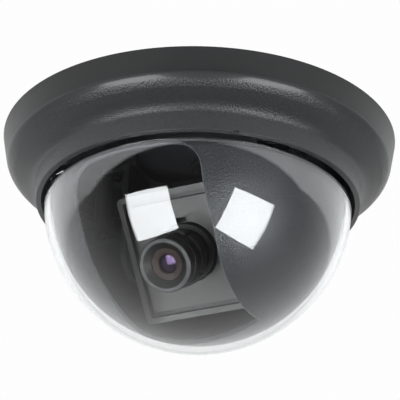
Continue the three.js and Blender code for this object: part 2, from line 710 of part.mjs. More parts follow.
function trimCover() {
  const shell = turned(coverOutline());
  const ribs = RIB_ANGLES.map((degrees) =>
    block([BASE_RADIUS + GAP, COVER_RADIUS - SHEET], [-RIB_HALF_WIDTH, RIB_HALF_WIDTH], RIB_HEIGHTS)
      .rotateZ(THREE.MathUtils.degToRad(degrees)));
  const bosses = RING_SCREW_ANGLES.map((degrees) =>
    drill(RING_BOSS_RADIUS, RING_BOTTOM - GAP, RING_BOSS_BOTTOM, onCircle(RING_SCREW_RADIUS, degrees)));
  return cut(join(shell, ...ribs, ...bosses), ...RING_SCREW_ANGLES.map(ringScrewHole));
}

function clearDome() {
  const inside = DOME_RADIUS - DOME_WALL;
  return turned([
    [inside, FLANGE_TOP],
    [FLANGE_RADIUS, FLANGE_TOP],
    [FLANGE_RADIUS, FLANGE_BOTTOM],
    [DOME_NECK_RADIUS, FLANGE_BOTTOM],
    [DOME_NECK_RADIUS, DOME_STEP_Z],
    ...sphereOutline(DOME_RADIUS, DOME_STEP_Z),
    ...sphereOutline(inside).reverse(),
  ]);
}

function domeClampRing() {
  const blank = ring(DOME_RADIUS - 0.4, COVER_RADIUS - 4.6, RING_TOP, RING_BOTTOM);
  return cut(blank, ...RING_SCREW_ANGLES.map(ringScrewHole));
}

function clampRingScrew(degrees) {
  const [x, y] = onCircle(RING_SCREW_RADIUS, degrees);
  const seat = RING_TOP + GAP;
  const shaftLength = seat - RING_HOLE_BOTTOM - GAP;
  return fixingScrew(shaftLength).rotateX(Math.PI).translate(x, y, seat);
}

// ---------------------------------------------------------------- the whole camera

place('base_plate', basePlate(), materials.basePlastic);
place('cable_grommet', cableGrommet(), materials.rubber);
CLAMP_ANGLES.forEach((degrees, i) => {
  place(`pan_clamp_${i + 1}`, panClamp(degrees), materials.blackPlastic);
  place(`pan_clamp_screw_${i + 1}`, panClampScrew(degrees), materials.steel);
});

place('turntable', turntable(), materials.blackPlastic);
Object.entries(SIDES).forEach(([name, side]) => {
  place(`yoke_arm_${name}`, yokeArm(side), materials.paintedSheet);
  place(`liner_screw_${name}`, linerScrew(side), materials.steel);
});
Object.values(SIDES).flatMap(footScrewPlaces).forEach((spot, i) => {
  place(`yoke_screw_${i + 1}`, yokeScrew(spot), materials.steel);
});
place('inner_liner', innerLiner(), materials.linerPlastic);

place('module_frame', moduleFrame(), materials.paintedSheet, tilting);
place('front_plate', frontPlate(), materials.paintedSheet, tilting);
place('lens_holder', lensHolder(), materials.blackPlastic, tilting);
place('lens_set_screw', lensSetScrew(), materials.steel, tilting);
place('image_sensor', imageSensor(), materials.sensorGlass, tilting);
place('sensor_board', circuitBoard(SENSOR_BOARD_FRONT, SENSOR_BOARD_BACK), materials.circuitBoard, tilting);
place('processor_chip', processorChip(), materials.chip, tilting);
place('power_board', circuitBoard(POWER_BOARD_FRONT, POWER_BOARD_BACK), materials.circuitBoard, tilting);
CORNERS.forEach((corner, i) => {
  place(`board_spacer_${i + 1}`, boardSpacer(corner), materials.steel, tilting);
  place(`board_screw_${i + 1}`, boardScrew(corner), materials.steel, tilting);
});
place('power_connector', powerConnector(), materials.connector, tilting);
[-6, 6].forEach((x, i) => {
  place(`capacitor_${i + 1}`, capacitor(x), materials.capacitorCan, tilting);
});
Object.entries(SIDES).forEach(([name, side]) => {
  place(`tilt_screw_${name}`, tiltScrew(side), materials.steel, tilting);
});

place('lens_barrel', lensBarrel(), materials.lensBlack, tilting);
place('front_retaining_ring', frontRetainingRing(), materials.bronze, tilting);
place('front_element', frontElement(), materials.lensGlass, tilting);
place('rear_element', rearElement(), materials.lensGlass, tilting);
place('lens_lock_ring', lensLockRing(), materials.lensBlack, tilting);

place('trim_cover', trimCover(), materials.coverPlastic);
place('clear_dome', clearDome(), materials.clearPlastic);
place('dome_clamp_ring', domeClampRing(), materials.steel);
RING_SCREW_ANGLES.forEach((degrees, i) => {
  place(`clamp_ring_screw_${i + 1}`, clampRingScrew(degrees), materials.steel);
});

export default camera;
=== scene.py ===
"""The looks of a small ceiling dome camera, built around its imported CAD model.

Lengths in the outlines are millimetres and become metres when a mesh is made. The camera module's
pieces are drawn straight (x across, y back along the lens axis, z up, from the tilt axis) and then
turned to where the module rests.
"""

import json
import math

import bmesh
import bpy
from mathutils import Matrix, Vector


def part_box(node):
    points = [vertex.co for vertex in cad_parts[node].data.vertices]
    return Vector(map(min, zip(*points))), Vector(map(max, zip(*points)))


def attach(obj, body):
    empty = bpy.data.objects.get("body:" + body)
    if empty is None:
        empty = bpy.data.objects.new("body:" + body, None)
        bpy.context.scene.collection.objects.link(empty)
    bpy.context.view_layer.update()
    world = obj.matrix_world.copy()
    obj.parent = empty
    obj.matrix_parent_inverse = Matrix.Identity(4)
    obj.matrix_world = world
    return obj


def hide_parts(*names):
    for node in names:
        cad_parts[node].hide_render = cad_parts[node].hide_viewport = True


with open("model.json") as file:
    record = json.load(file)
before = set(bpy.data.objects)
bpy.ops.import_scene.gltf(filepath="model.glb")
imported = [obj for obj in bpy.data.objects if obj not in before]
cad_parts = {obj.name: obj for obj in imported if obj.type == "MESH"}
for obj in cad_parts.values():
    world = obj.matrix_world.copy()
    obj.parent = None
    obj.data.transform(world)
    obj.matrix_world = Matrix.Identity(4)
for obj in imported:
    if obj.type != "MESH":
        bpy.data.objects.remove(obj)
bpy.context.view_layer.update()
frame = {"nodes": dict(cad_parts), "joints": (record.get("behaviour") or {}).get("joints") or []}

MM = 0.001
SIDES = 192  # round pieces as large as the dome
SMALL_SIDES = 64  # lens and screws
ARC_STEPS = 10
GAP = 0.3


# ---- places taken from the frame

def box_mm(node):
    """The lowest and highest corner of a CAD node, in millimetres."""
    low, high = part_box(node)
    return low / MM, high / MM


def joint(name):
    return next(j for j in frame["joints"] if j["name"] == name)


LENS_AXIS = Vector(joint("lens_focus")["axis"]).normalized()
PIVOT = Vector(joint("tilt")["pos_m"])
ACROSS = Vector((1, 0, 0))
TILTED = Matrix.Translation(PIVOT) @ Matrix(
    (ACROSS, -LENS_AXIS, ACROSS.cross(-LENS_AXIS))
).transposed().to_4x4()
STRAIGHT = Matrix.Identity(4)


def module_box(node):
    """A CAD node's corners in the module's own straight axes, in millimetres."""
    back = TILTED.inverted()
    points = [back @ v.co / MM for v in frame["nodes"][node].data.vertices]
    low = Vector([min(p[i] for p in points) for i in range(3)])
    high = Vector([max(p[i] for p in points) for i in range(3)])
    return low, high


# ---- driving sizes, in millimetres

cover_low, cover_high = box_mm("trim_cover")
COVER_RADIUS = cover_high.x
COVER_TOP = cover_high.z
LIP_BOTTOM = cover_low.z
dome_low, dome_high = box_mm("clear_dome")
FLANGE_RADIUS = dome_high.x
FLANGE_TOP = dome_high.z
DOME_RADIUS = FLANGE_RADIUS - 2.4
DOME_WALL = 1.5
DOME_CENTRE = dome_low.z + DOME_RADIUS
NECK_RADIUS = DOME_RADIUS - 0.6  # above the step that shows as a dark line under the cover's lip
STEP_Z = DOME_CENTRE - 2.7
FLANGE_BOTTOM = FLANGE_TOP - 1.5
LIP_INSIDE = DOME_RADIUS + 0.7
SHELF = FLANGE_BOTTOM - GAP

liner_high = box_mm("inner_liner")[1]
LINER_RADIUS = liner_high.x
LINER_WALL = 1.2
SLOT_HALF = 17.8  # the slot that the lens looks through
SLOT_FOOT_HALF = 15.3
SLOT_TOP = DOME_CENTRE - 3
SLOT_CORNER = 6
SLOT_WAIST = -40
SLOT_FOOT = -53
SLOT_TURN = math.radians(-1.3)
POST_X = 28.6
TAB_THICKNESS = 1.8
TAB_END = 24.5
TAB_HALF = 4
SLOT_END = 5.2  # the slot's rear end in y, just behind the liner's lowest point

MODULE_FRONT = module_box("module_frame")[0].y
BARREL_FRONT = module_box("lens_barrel")[0].y
HOLE_RADIUS = 1.2  # round every small screw
PIVOT_HOLE = 1.8  # round the tilt screws


# ---- mesh making

def in_scene(name, data):
    thing = bpy.data.objects.new(name, data)
    bpy.context.scene.collection.objects.link(thing)
    return thing


def make_object(name, vertices, faces):
    mesh = bpy.data.meshes.new(name)
    mesh.from_pydata([Vector(v) * MM for v in vertices], [], faces)
    work = bmesh.new()
    work.from_mesh(mesh)
    bmesh.ops.recalc_face_normals(work, faces=work.faces)
    work.to_mesh(mesh)
    work.free()
    return in_scene(name, mesh)


def arc(centre, radius, start, end, steps=ARC_STEPS):
    """Points on an arc, angles in degrees."""
    points = []
    for i in range(steps + 1):
        angle = math.radians(start + (end - start) * i / steps)
        points.append((centre[0] + radius * math.cos(angle), centre[1] + radius * math.sin(angle)))
    return points


def curve(start, bend, end, steps=ARC_STEPS):
    """Points on a quadratic curve, without its first point."""
    points = []
    for i in range(1, steps + 1):
        t = i / steps
        points.append(tuple(
            (1 - t) ** 2 * a + 2 * t * (1 - t) * b + t * t * c for a, b, c in zip(start, bend, end)
        ))
    return points


def softened(outline, radius, steps=3):
    """The closed outline with each corner rounded, on-axis points apart."""
    count = len(outline)
    points = []
    for i, corner in enumerate(outline):
        here = Vector(corner)
        before = Vector(outline[i - 1]) - here
        after = Vector(outline[(i + 1) % count]) - here
        turn = before.angle(after, math.pi) if before.length and after.length else math.pi
        if abs(here.x) < 1e-6 or turn > math.radians(165):
            points.append(tuple(here))
            continue
        reach = min(radius, before.length * 0.4, after.length * 0.4)
        start = here + before.normalized() * reach
        end = here + after.normalized() * reach
        points.append(tuple(start))
        points.extend(curve(start, here, end, steps))
    return points


def turned(name, outline, sides=SIDES, soft=0.0):
    """A solid of revolution about z from a closed [radius, z] outline."""
    if soft:
        outline = softened(outline, soft)
    rings, vertices, faces = [], [], []
    for radius, z in outline:
        if radius < 1e-6:
            rings.append([len(vertices)] * sides)
            vertices.append((0, 0, z))
        else:
            rings.append(list(range(len(vertices), len(vertices) + sides)))
            for i in range(sides):
                angle = 2 * math.pi * i / sides
                vertices.append((radius * math.cos(angle), radius * math.sin(angle), z))
    for a, b in zip(rings, rings[1:] + rings[:1]):
        for i in range(sides):
            j = (i + 1) % sides
            corners = list(dict.fromkeys([a[i], a[j], b[j], b[i]]))
            if len(corners) > 2:
                faces.append(corners)
    return make_object(name, vertices, faces)


def extruded(name, outline, low, high):
    """A prism: the outline in x and y, between two z values."""
    count = len(outline)
    vertices = [(x, y, low) for x, y in outline] + [(x, y, high) for x, y in outline]
    faces = [list(range(count)), list(range(count, 2 * count))]
    for i in range(count):
        j = (i + 1) % count
        faces.append([i, j, count + j, count + i])
    return make_object(name, vertices, faces)


def rectangle(left, right, low, high):
    return [(left, low), (right, low), (right, high), (left, high)]


def reshaped(thing, matrix):
    thing.data.transform(matrix)
    return thing


def moved(thing, x, y, z):
    return reshaped(thing, Matrix.Translation(Vector((x, y, z)) * MM))


def spun(thing, angle, axis="Z"):
    return reshaped(thing, Matrix.Rotation(angle, 4, axis))


# z becomes forward, y becomes z
TO_FORWARD = Matrix(((1, 0, 0), (0, 0, -1), (0, 1, 0))).to_4x4()
# z becomes x, x becomes y, y becomes z
TO_SIDE = Matrix(((0, 0, 1), (1, 0, 0), (0, 1, 0))).to_4x4()


def facing_forward(thing):
    return reshaped(thing, TO_FORWARD)


def plate_across(name, outline, front, back):
    """A flat piece across the lens axis: its outline is in x and z."""
    return facing_forward(extruded(name, outline, -back, -front))


def plate_beside(name, outline, left, right):
    """A flat piece beside the module: its outline is in y and z."""
    return reshaped(extruded(name, outline, left, right), TO_SIDE)


def block(name, xs, ys, zs):
    return extruded(name, rectangle(*xs, *ys), *zs)


def rod(name, radius, low, high, place=(0, 0), sides=SMALL_SIDES):
    return moved(turned(name, rectangle(0, radius, low, high), sides), *place, 0)


def screw_hole(low, high, place):
    return rod("hole", HOLE_RADIUS, low, high, place)


def rounded_rectangle(width, height, radius, steps=6):
    x, y = width / 2 - radius, height / 2 - radius
    points = []
    for (cx, cy), start in zip([(x, -y), (x, y), (-x, y), (-x, -y)], [-90, 0, 90, 180]):
        points.extend(arc((cx, cy), radius, start, start + 90, steps))
    return points


def slab(name, width, height, radius, front, back):
    """A flat rounded rectangle across the lens axis."""
    return plate_across(name, rounded_rectangle(width, height, radius), front, back)


def on_circle(radius, degrees):
    angle = math.radians(degrees)
    return radius * math.cos(angle), radius * math.sin(angle)


def apply_modifiers(thing):
    graph = bpy.context.evaluated_depsgraph_get()
    mesh = bpy.data.meshes.new_from_object(thing.evaluated_get(graph))
    old = thing.data
    thing.modifiers.clear()
    thing.data = mesh
    bpy.data.meshes.remove(old)
    return thing


def combine(thing, tools, operation):
    for tool in tools:
        step = thing.modifiers.new("combine", "BOOLEAN")
        step.operation = operation
        step.solver = "EXACT"
        step.object = tool
        apply_modifiers(thing)
        bpy.data.objects.remove(tool)
    return thing


def join(thing, *others):
    return combine(thing, others, "UNION")


def cut(thing, *tools):
    return combine(thing, tools, "DIFFERENCE")


def bevelled(thing, width, segments=2, above=35):
    flatten = thing.modifiers.new("flatten", "DECIMATE")
    flatten.decimate_type = "DISSOLVE"
    flatten.angle_limit = math.radians(0.3)
    step = thing.modifiers.new("bevel", "BEVEL")
    step.width = width * MM
    step.segments = segments
    step.limit_method = "ANGLE"
    step.angle_limit = math.radians(above)
    step.use_clamp_overlap = True
    return apply_modifiers(thing)


def settle(thing, material, body, nodes=(), to_row=STRAIGHT, sharp=32):
    """Puts a finished shape in the row frame, paints it, hangs it on its body's empty and hides the CAD
    nodes it replaces.
    """
    mesh = thing.data
    local = mesh.attributes.new("at", "FLOAT_VECTOR", "POINT")
    local.data.foreach_set("vector", [c / MM for v in mesh.vertices for c in v.co])
    mesh.transform(to_row)
    mesh.materials.clear()
    mesh.materials.append(material)
    mesh.shade_smooth()
    mesh.set_sharp_from_angle(angle=math.radians(sharp))
    even = thing.modifiers.new("even_shading", "WEIGHTED_NORMAL")
    even.keep_sharp = True
    apply_modifiers(thing)
    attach(thing, body)
    if nodes:
        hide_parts(*nodes)
    return thing


# ---- materials

def set_limits(node, start, end, low, high):
    for name, value in (("From Min", start), ("From Max", end), ("To Min", low), ("To Max", high)):
        node.inputs[name].default_value = value


class Paint:
    """A Principled material whose pattern is read from the piece's own "at" attribute."""

    def __init__(self, name, colour, roughness, metallic=0.0):
        self.material = bpy.data.materials.new(name)
        self.material.use_nodes = True
        self.tree = self.material.node_tree
        self.shader = self.tree.nodes["Principled BSDF"]
        self.colour = colour
        self.roughness = roughness
        self.shader.inputs["Base Color"].default_value = (*colour, 1)
        self.shader.inputs["Roughness"].default_value = roughness
        self.shader.inputs["Metallic"].default_value = metallic
        self.place = self.node("ShaderNodeAttribute")
        self.place.attribute_name = "at"
        self.normal = None

    def node(self, kind, **settings):
        node = self.tree.nodes.new(kind)
        for key, value in settings.items():
            setattr(node, key, value)
        return node

    def link(self, source, target):
        self.tree.links.new(source, target)

    def drive(self, name, source):
        self.link(source, self.shader.inputs[name])

    def set(self, **values):
        for name, value in values.items():
            self.shader.inputs[name.replace("_", " ")].default_value = value
        return self

    def position(self):
        return self.place.outputs["Vector"]

    def noise(self, scale, detail=2.0, stretch=None):
        """Noise with about this many bumps in a millimetre."""
        where = self.position()
        if stretch:
            mapping = self.node("ShaderNodeMapping")
            mapping.inputs["Scale"].default_value = stretch
            self.link(where, mapping.inputs["Vector"])
            where = mapping.outputs["Vector"]
        noise = self.node("ShaderNodeTexNoise")
        noise.inputs["Scale"].default_value = scale
        noise.inputs["Detail"].default_value = detail
        self.link(where, noise.inputs["Vector"])
        return noise.outputs["Fac"]

    def spread(self, source, low, high, start=0.0, end=1.0, smooth=False):
        """Maps a value from start..end to low..high."""
        node = self.node("ShaderNodeMapRange")
        if smooth:
            node.interpolation_type = "SMOOTHSTEP"
        set_limits(node, start, end, low, high)
        self.link(source, node.inputs["Value"])
        return node.outputs["Result"]

    def mixed(self, factor, first, second):
        node = self.node("ShaderNodeMix", data_type="RGBA")
        self.link(factor, node.inputs["Factor"])
        for name, value in (("A", first), ("B", second)):
            socket = next(s for s in node.inputs if s.name == name and s.type == "RGBA")
            if isinstance(value, bpy.types.NodeSocket):
                self.link(value, socket)
            else:
                socket.default_value = (*value, 1)
        return next(s for s in node.outputs if s.type == "RGBA")

    def cloudy(self, amount=0.12, scale=0.12):
        """Slow changes of colour and gloss, as from handling and moulding."""
        cloud = self.noise(scale, 4)
        darker = tuple(c * (1 - amount) for c in self.colour)
        lighter = tuple(min(1, c * (1 + amount)) for c in self.colour)
        self.drive("Base Color", self.mixed(cloud, darker, lighter))
        smoother, rougher = self.roughness * 0.85, min(1, self.roughness * 1.15)
        self.drive("Roughness", self.spread(cloud, smoother, rougher, 0.3, 0.7))
        return self

    def bump(self, height, depth, strength=1.0):
        """Adds a bump of a given depth in millimetres."""
        node = self.node("ShaderNodeBump")
        node.inputs["Distance"].default_value = depth * MM
        if isinstance(strength, bpy.types.NodeSocket):
            self.link(strength, node.inputs["Strength"])
        else:
            node.inputs["Strength"].default_value = strength
        self.link(height, node.inputs["Height"])
        if self.normal is not None:
            self.link(self.normal, node.inputs["Normal"])
        self.normal = node.outputs["Normal"]
        for name in ("Normal", "Coat Normal"):
            self.drive(name, self.normal)
        return self

    def grain(self, scale, depth, strength=1.0):
        return self.bump(self.noise(scale, 3), depth, strength)

    def maths(self, operation, a, b=0.0):
        node = self.node("ShaderNodeMath", operation=operation)
        for socket, value in zip(node.inputs, (a, b)):
            if isinstance(value, bpy.types.NodeSocket):
                self.link(value, socket)
            else:
                socket.default_value = value
        return node.outputs["Value"]

    def axes(self):
        """The x, y and z of the place, each a socket."""
        split = self.node("ShaderNodeSeparateXYZ")
        self.link(self.position(), split.inputs["Vector"])
        return split.outputs

    def overlay(self, mask, colour):
        """Lays a colour over the base colour where the mask is 1."""
        below = self.shader.inputs["Base Color"].links[0].from_socket
        self.drive("Base Color", self.mixed(mask, below, colour))
        return self


def grey(level):
    """A linear grey from a display level of 0 to 255."""
    share = level / 255
    linear = share / 12.92 if share <= 0.04045 else ((share + 0.055) / 1.055) ** 2.4
    return (linear, linear, linear)


def tinted(red, green, blue):
    return tuple(grey(level)[0] for level in (red, green, blue))


BAND_BOTTOM = -6.6  # the cover is dull above this and glossy below
GRAIN_TOP = -8.3  # the glossy part is grained below this


def cover_paint():
    """Near-black plastic: a dull band, a smooth glossy shoulder, and a fine glossy grain below it."""
    paint = Paint("cover_plastic", tinted(24, 24, 25), 0.36)
    height = paint.axes()["Z"]
    glossy = paint.spread(height, 1, 0, BAND_BOTTOM - 0.3, BAND_BOTTOM + 0.3, smooth=True)
    grained = paint.spread(height, 1, 0, GRAIN_TOP - 0.7, GRAIN_TOP + 0.7, smooth=True)
    speckle = paint.noise(2.3, 3)
    patches = paint.spread(speckle, 0, 1, 0.35, 0.65)
    grain_colour = paint.mixed(patches, tinted(13, 14, 16), tinted(26, 28, 31))
    cloud = paint.noise(0.1, 4)
    smooth_colour = paint.mixed(cloud, tinted(11, 11, 12), tinted(15, 15, 16))
    paint.drive("Base Color", paint.mixed(glossy, smooth_colour, grain_colour))
    paint.drive("Roughness", paint.spread(glossy, 0.36, 0.58))
    paint.drive("Coat Weight", paint.spread(glossy, 0, 0.55))
    paint.bump(speckle, 0.17, grained)
    paint.grain(0.7, 0.02, 0.5)
    paint.set(Specular_IOR_Level=0.42, Coat_Roughness=0.17)
    return paint.material


def dome_paint():
    """Clear polycarbonate with the faintest haze. Lamps shine through it."""
    paint = Paint("clear_plastic", (0.97, 0.98, 0.985), 0.0)
    paint.set(Transmission_Weight=1.0, IOR=1.58)
    haze = paint.spread(paint.noise(0.25, 5), 0.0, 0.02, 0.45, 0.8)
    paint.drive("Roughness", haze)
    clear = paint.node("ShaderNodeBsdfTransparent")
    clear.inputs["Color"].default_value = (0.93, 0.94, 0.945, 1)
    path = paint.node("ShaderNodeLightPath")
    mix = paint.node("ShaderNodeMixShader")
    paint.link(path.outputs["Is Shadow Ray"], mix.inputs["Fac"])
    paint.link(paint.shader.outputs["BSDF"], mix.inputs[1])
    paint.link(clear.outputs["BSDF"], mix.inputs[2])
    output = next(n for n in paint.tree.nodes if n.type == "OUTPUT_MATERIAL")
    paint.link(mix.outputs["Shader"], output.inputs["Surface"])
    return paint.material


def slot_rim_gloss_and_highlight(paint):
    """1 along the rim of the liner's slot, 0 elsewhere: where the rim is glossier and has a painted
    highlight.
    """
    x, y, z = paint.axes()
    turned_x = paint.maths("MULTIPLY", x, math.cos(SLOT_TURN))
    turned_y = paint.maths("MULTIPLY", y, math.sin(SLOT_TURN))
    across = paint.maths("ABSOLUTE", paint.maths("ADD", turned_x, turned_y))
    below_waist = paint.maths("MAXIMUM", paint.maths("SUBTRACT", SLOT_WAIST, z), 0)
    taper = (SLOT_HALF - SLOT_FOOT_HALF) / (SLOT_WAIST - SLOT_FOOT)
    widened = paint.maths("ADD", across, paint.maths("MULTIPLY", below_waist, taper))
    aside = paint.maths("MAXIMUM", paint.maths("SUBTRACT", widened, SLOT_HALF - SLOT_CORNER), 0)
    above = paint.maths("MAXIMUM", paint.maths("SUBTRACT", z, SLOT_TOP - SLOT_CORNER), 0)
    aside_squared = paint.maths("MULTIPLY", aside, aside)
    above_squared = paint.maths("MULTIPLY", above, above)
    reach = paint.maths("SQRT", paint.maths("ADD", aside_squared, above_squared))
    distance = paint.maths("ABSOLUTE", paint.maths("SUBTRACT", reach, SLOT_CORNER))
    in_front = paint.maths("LESS_THAN", y, SLOT_END)
    return paint.maths("MULTIPLY", paint.spread(distance, 1, 0, 0.05, 0.25), in_front)


def liner_paint():
    """Dark grey with a fine sparkling grain, and round its slot a glossier rim with a painted highlight
    in a lighter grey.
    """
    paint = Paint("liner_plastic", tinted(30, 30, 31), 0.4)
    fleck = paint.spread(paint.noise(2.4, 2), 0, 1, 0.5, 0.7)
    cloud = paint.noise(0.1, 3)
    ground = paint.mixed(cloud, tinted(20, 21, 22), tinted(27, 28, 30))
    grained = paint.mixed(fleck, ground, tinted(38, 40, 43))
    # Painted highlight: the slot's rim is coloured a lighter grey, for the bright line the lamps make
    # along it.
    edge = slot_rim_gloss_and_highlight(paint)
    paint.drive("Base Color", paint.mixed(edge, grained, tinted(70, 71, 74)))
    paint.drive("Roughness", paint.spread(edge, 0.33, 0.2))
    paint.grain(2.4, 0.16, 1.0)
    paint.set(Coat_Weight=0.25, Coat_Roughness=0.15)
    return paint.material


def moulded_paint(name, colour, roughness, scale=1.5, depth=0.03):
    return Paint(name, colour, roughness).cloudy().grain(scale, depth).material


def module_paint():
    """Warm grey at the front of the module, with painted shade behind it: nearly black from about a
    millimetre behind the front face.
    """
    paint = Paint("module_plastic", tinted(50, 49, 46), 0.5).cloudy()
    # Painted shade: the moulding more than about a millimetre behind the module's front is coloured
    # nearly black, for the shaded gap round the plate and the frame's sides.
    behind = paint.spread(paint.axes()["Y"], 0, 1, MODULE_FRONT + 0.8, MODULE_FRONT + 1.2)
    return paint.overlay(behind, tinted(12, 12, 11)).grain(2.5, 0.03).material


def metal_paint(name, colour, roughness):
    """Turned or rolled metal with fine scratches."""
    paint = Paint(name, colour, roughness, metallic=1.0).cloudy(0.08, 0.3)
    scratch = paint.noise(3, 4, stretch=(1, 8, 1))
    return paint.bump(scratch, 0.01, 0.6).material


def powder_paint():
    paint = Paint("yoke_steel", tinted(40, 40, 41), 0.42, metallic=0.2).cloudy(0.1, 0.2)
    return paint.grain(2.2, 0.03).material


def board_paint():
    """Green solder mask with copper tracks showing through it."""
    paint = Paint("circuit_board", tinted(28, 92, 52), 0.28)
    tracks = paint.node("ShaderNodeTexBrick", offset=0.5)
    tracks.inputs["Scale"].default_value = 0.55
    tracks.inputs["Mortar Size"].default_value = 0.035
    mapping = paint.node("ShaderNodeMapping")
    mapping.inputs["Rotation"].default_value = (math.pi / 2, 0, 0)
    paint.link(paint.position(), mapping.inputs["Vector"])
    paint.link(mapping.outputs["Vector"], tracks.inputs["Vector"])
    line = tracks.outputs["Fac"]
    colour = paint.mixed(line, tinted(20, 82, 44), tinted(60, 128, 74))
    paint.drive("Base Color", colour)
    return paint.bump(line, 0.02, 0.5).grain(1.2, 0.01).material


def glass_paint():
    """A coated lens element: nearly black, with a purple mirror."""
    paint = Paint("lens_glass", (0.012, 0.008, 0.02), 0.04)
    paint.set(Specular_IOR_Level=0.6, Specular_Tint=(0.7, 0.45, 1.0, 1))
    paint.set(Coat_Weight=0.2, Coat_Roughness=0.03)
    cloud = paint.noise(0.4, 2)
    dark, purple = (0.008, 0.008, 0.009), (0.022, 0.012, 0.026)
    paint.drive("Base Color", paint.mixed(cloud, dark, purple))
    paint.drive("Roughness", paint.spread(cloud, 0.02, 0.08))
    return paint.material


def lens_paint(name, colour, roughness, paler_ahead_of=None):
    """Anodised aluminium with the fine rings a lathe leaves, and a paler grey in front of a given y."""
    paint = Paint(name, colour, roughness, metallic=0.35).cloudy(0.1, 0.4)
    paint.set(Specular_IOR_Level=0.3)
    if paler_ahead_of is not None:
        # A paler grey on the barrel's front rim, in front of the given y.
        rim = paint.spread(paint.axes()["Y"], 1, 0, paler_ahead_of - 0.05, paler_ahead_of + 0.05)
        paint.overlay(rim, grey(54))
    place = paint.axes()
    across = paint.node("ShaderNodeCombineXYZ")
    paint.link(place["X"], across.inputs["X"])
    paint.link(place["Z"], across.inputs["Y"])
    rings = paint.node("ShaderNodeTexWave", wave_type="RINGS", rings_direction="Z")
    rings.inputs["Scale"].default_value = 1.6
    rings.inputs["Distortion"].default_value = 0.4
    paint.link(across.outputs["Vector"], rings.inputs["Vector"])
    return paint.bump(rings.outputs["Fac"], 0.015, 0.5).material


COVER = cover_paint()
DOME = dome_paint()
LINER = liner_paint()
BASE = moulded_paint("base_plastic", tinted(36, 36, 38), 0.5)
TABLE = moulded_paint("table_plastic", tinted(26, 26, 27), 0.45)
RUBBER = moulded_paint("grommet_rubber", tinted(26, 26, 27), 0.8, 2.5, 0.05)
MODULE = module_paint()
HOLDER = moulded_paint("holder_plastic", tinted(24, 24, 22), 0.5)
CHIP = moulded_paint("chip_black", tinted(32, 33, 35), 0.4)
CONNECTOR = moulded_paint("connector_plastic", tinted(228, 222, 206), 0.45)
YOKE = powder_paint()
STEEL = metal_paint("screw_steel", tinted(190, 192, 194), 0.28)
BLACKENED = metal_paint("screw_blackened", tinted(60, 60, 62), 0.4)
RING_STEEL = metal_paint("ring_steel", tinted(58, 59, 60), 0.45)
CAN = metal_paint("capacitor_can", tinted(186, 188, 190), 0.3)
BOARD = board_paint()
GLASS = glass_paint()
SENSOR = moulded_paint("sensor_glass", tinted(40, 48, 60), 0.08, 0.5, 0.001)
LENS = lens_paint("lens_metal", tinted(23, 22, 21), 0.5, paler_ahead_of=BARREL_FRONT + 0.2)
BRONZE = lens_paint("retainer_bronze", tinted(30, 18, 14), 0.5)


# ---- cover and dome

def quarter_sphere(radius, centre, steps=48):
    """From the equator down to the pole."""
    points = arc((0, centre), radius, 0, -90, steps)
    points[-1] = (0, points[-1][1])
    return points


def cover_outline():
    """A smooth band, a rounded shoulder, a slope, a hollow fillet and a thin upright lip."""
    shoulder = (COVER_RADIUS - 1, -6.2)
    slope_top = (COVER_RADIUS - 3.6, -9.9)
    slope_foot = (COVER_RADIUS - 6.2, -11.2)
    lip_top = (LIP_INSIDE + 1.75, -14.2)
    lip_foot = (LIP_INSIDE + 1.4, LIP_BOTTOM + 0.35)
    lip_edge = (LIP_INSIDE + 1.05, LIP_BOTTOM)
    inner_low = (COVER_RADIUS - 5.1, -8.7)
    inner_high = (COVER_RADIUS - 2.8, -5.8)
    return [
        (COVER_RADIUS, COVER_TOP),
        shoulder,
        *curve(shoulder, (COVER_RADIUS - 1.3, -8.15), slope_top),
        slope_foot,
        *curve(slope_foot, (LIP_INSIDE + 1.9, -12.5), lip_top),
        lip_foot,
        *curve(lip_foot, (lip_foot[0], LIP_BOTTOM), lip_edge),
        (LIP_INSIDE, LIP_BOTTOM),
        (LIP_INSIDE, SHELF),
        (COVER_RADIUS - 7.4, SHELF),
        inner_low,
        *curve(inner_low, (COVER_RADIUS - 3.1, -7.7), inner_high),
        (COVER_RADIUS - 2, COVER_TOP),
    ]


RIB_ANGLES = (45, 165, 285)
BOSS_RADIUS = 1.8
GATE_ANGLE = math.radians(39)  # of the moulding gate's nick in the lip
RING_SCREWS = [f"clamp_ring_screw_{i}" for i in (1, 2, 3, 4)]
ring_low, ring_high = box_mm("dome_clamp_ring")


def node_centre(node):
    low, high = box_mm(node)
    return (low + high) / 2


def screw_places(nodes):
    return [tuple(node_centre(n).xy) for n in nodes]


def trim_cover():
    shell = turned("trim_cover_shell", cover_outline())
    ribs = []
    for degrees in RIB_ANGLES:
        rib = block("rib", (COVER_RADIUS - 2.9, COVER_RADIUS - 1.6), (-1, 1), (-5.5, -1))
        ribs.append(spun(rib, math.radians(degrees)))
    places = screw_places(RING_SCREWS)
    bosses = [rod("boss", BOSS_RADIUS, SHELF - 1, ring_low.z - GAP, place) for place in places]
    holes = [screw_hole(SHELF - 0.6, 0, place) for place in places]
    depth = (-LIP_INSIDE - 3, -LIP_INSIDE - 0.9)
    gate = block("gate", (-0.6, 0.6), depth, (LIP_BOTTOM - 1, LIP_BOTTOM + 0.4))
    spun(gate, GATE_ANGLE)
    cut(join(shell, *ribs, *bosses), *holes, gate)
    settle(bevelled(shell, 0.12), COVER, "cover", ["trim_cover"])


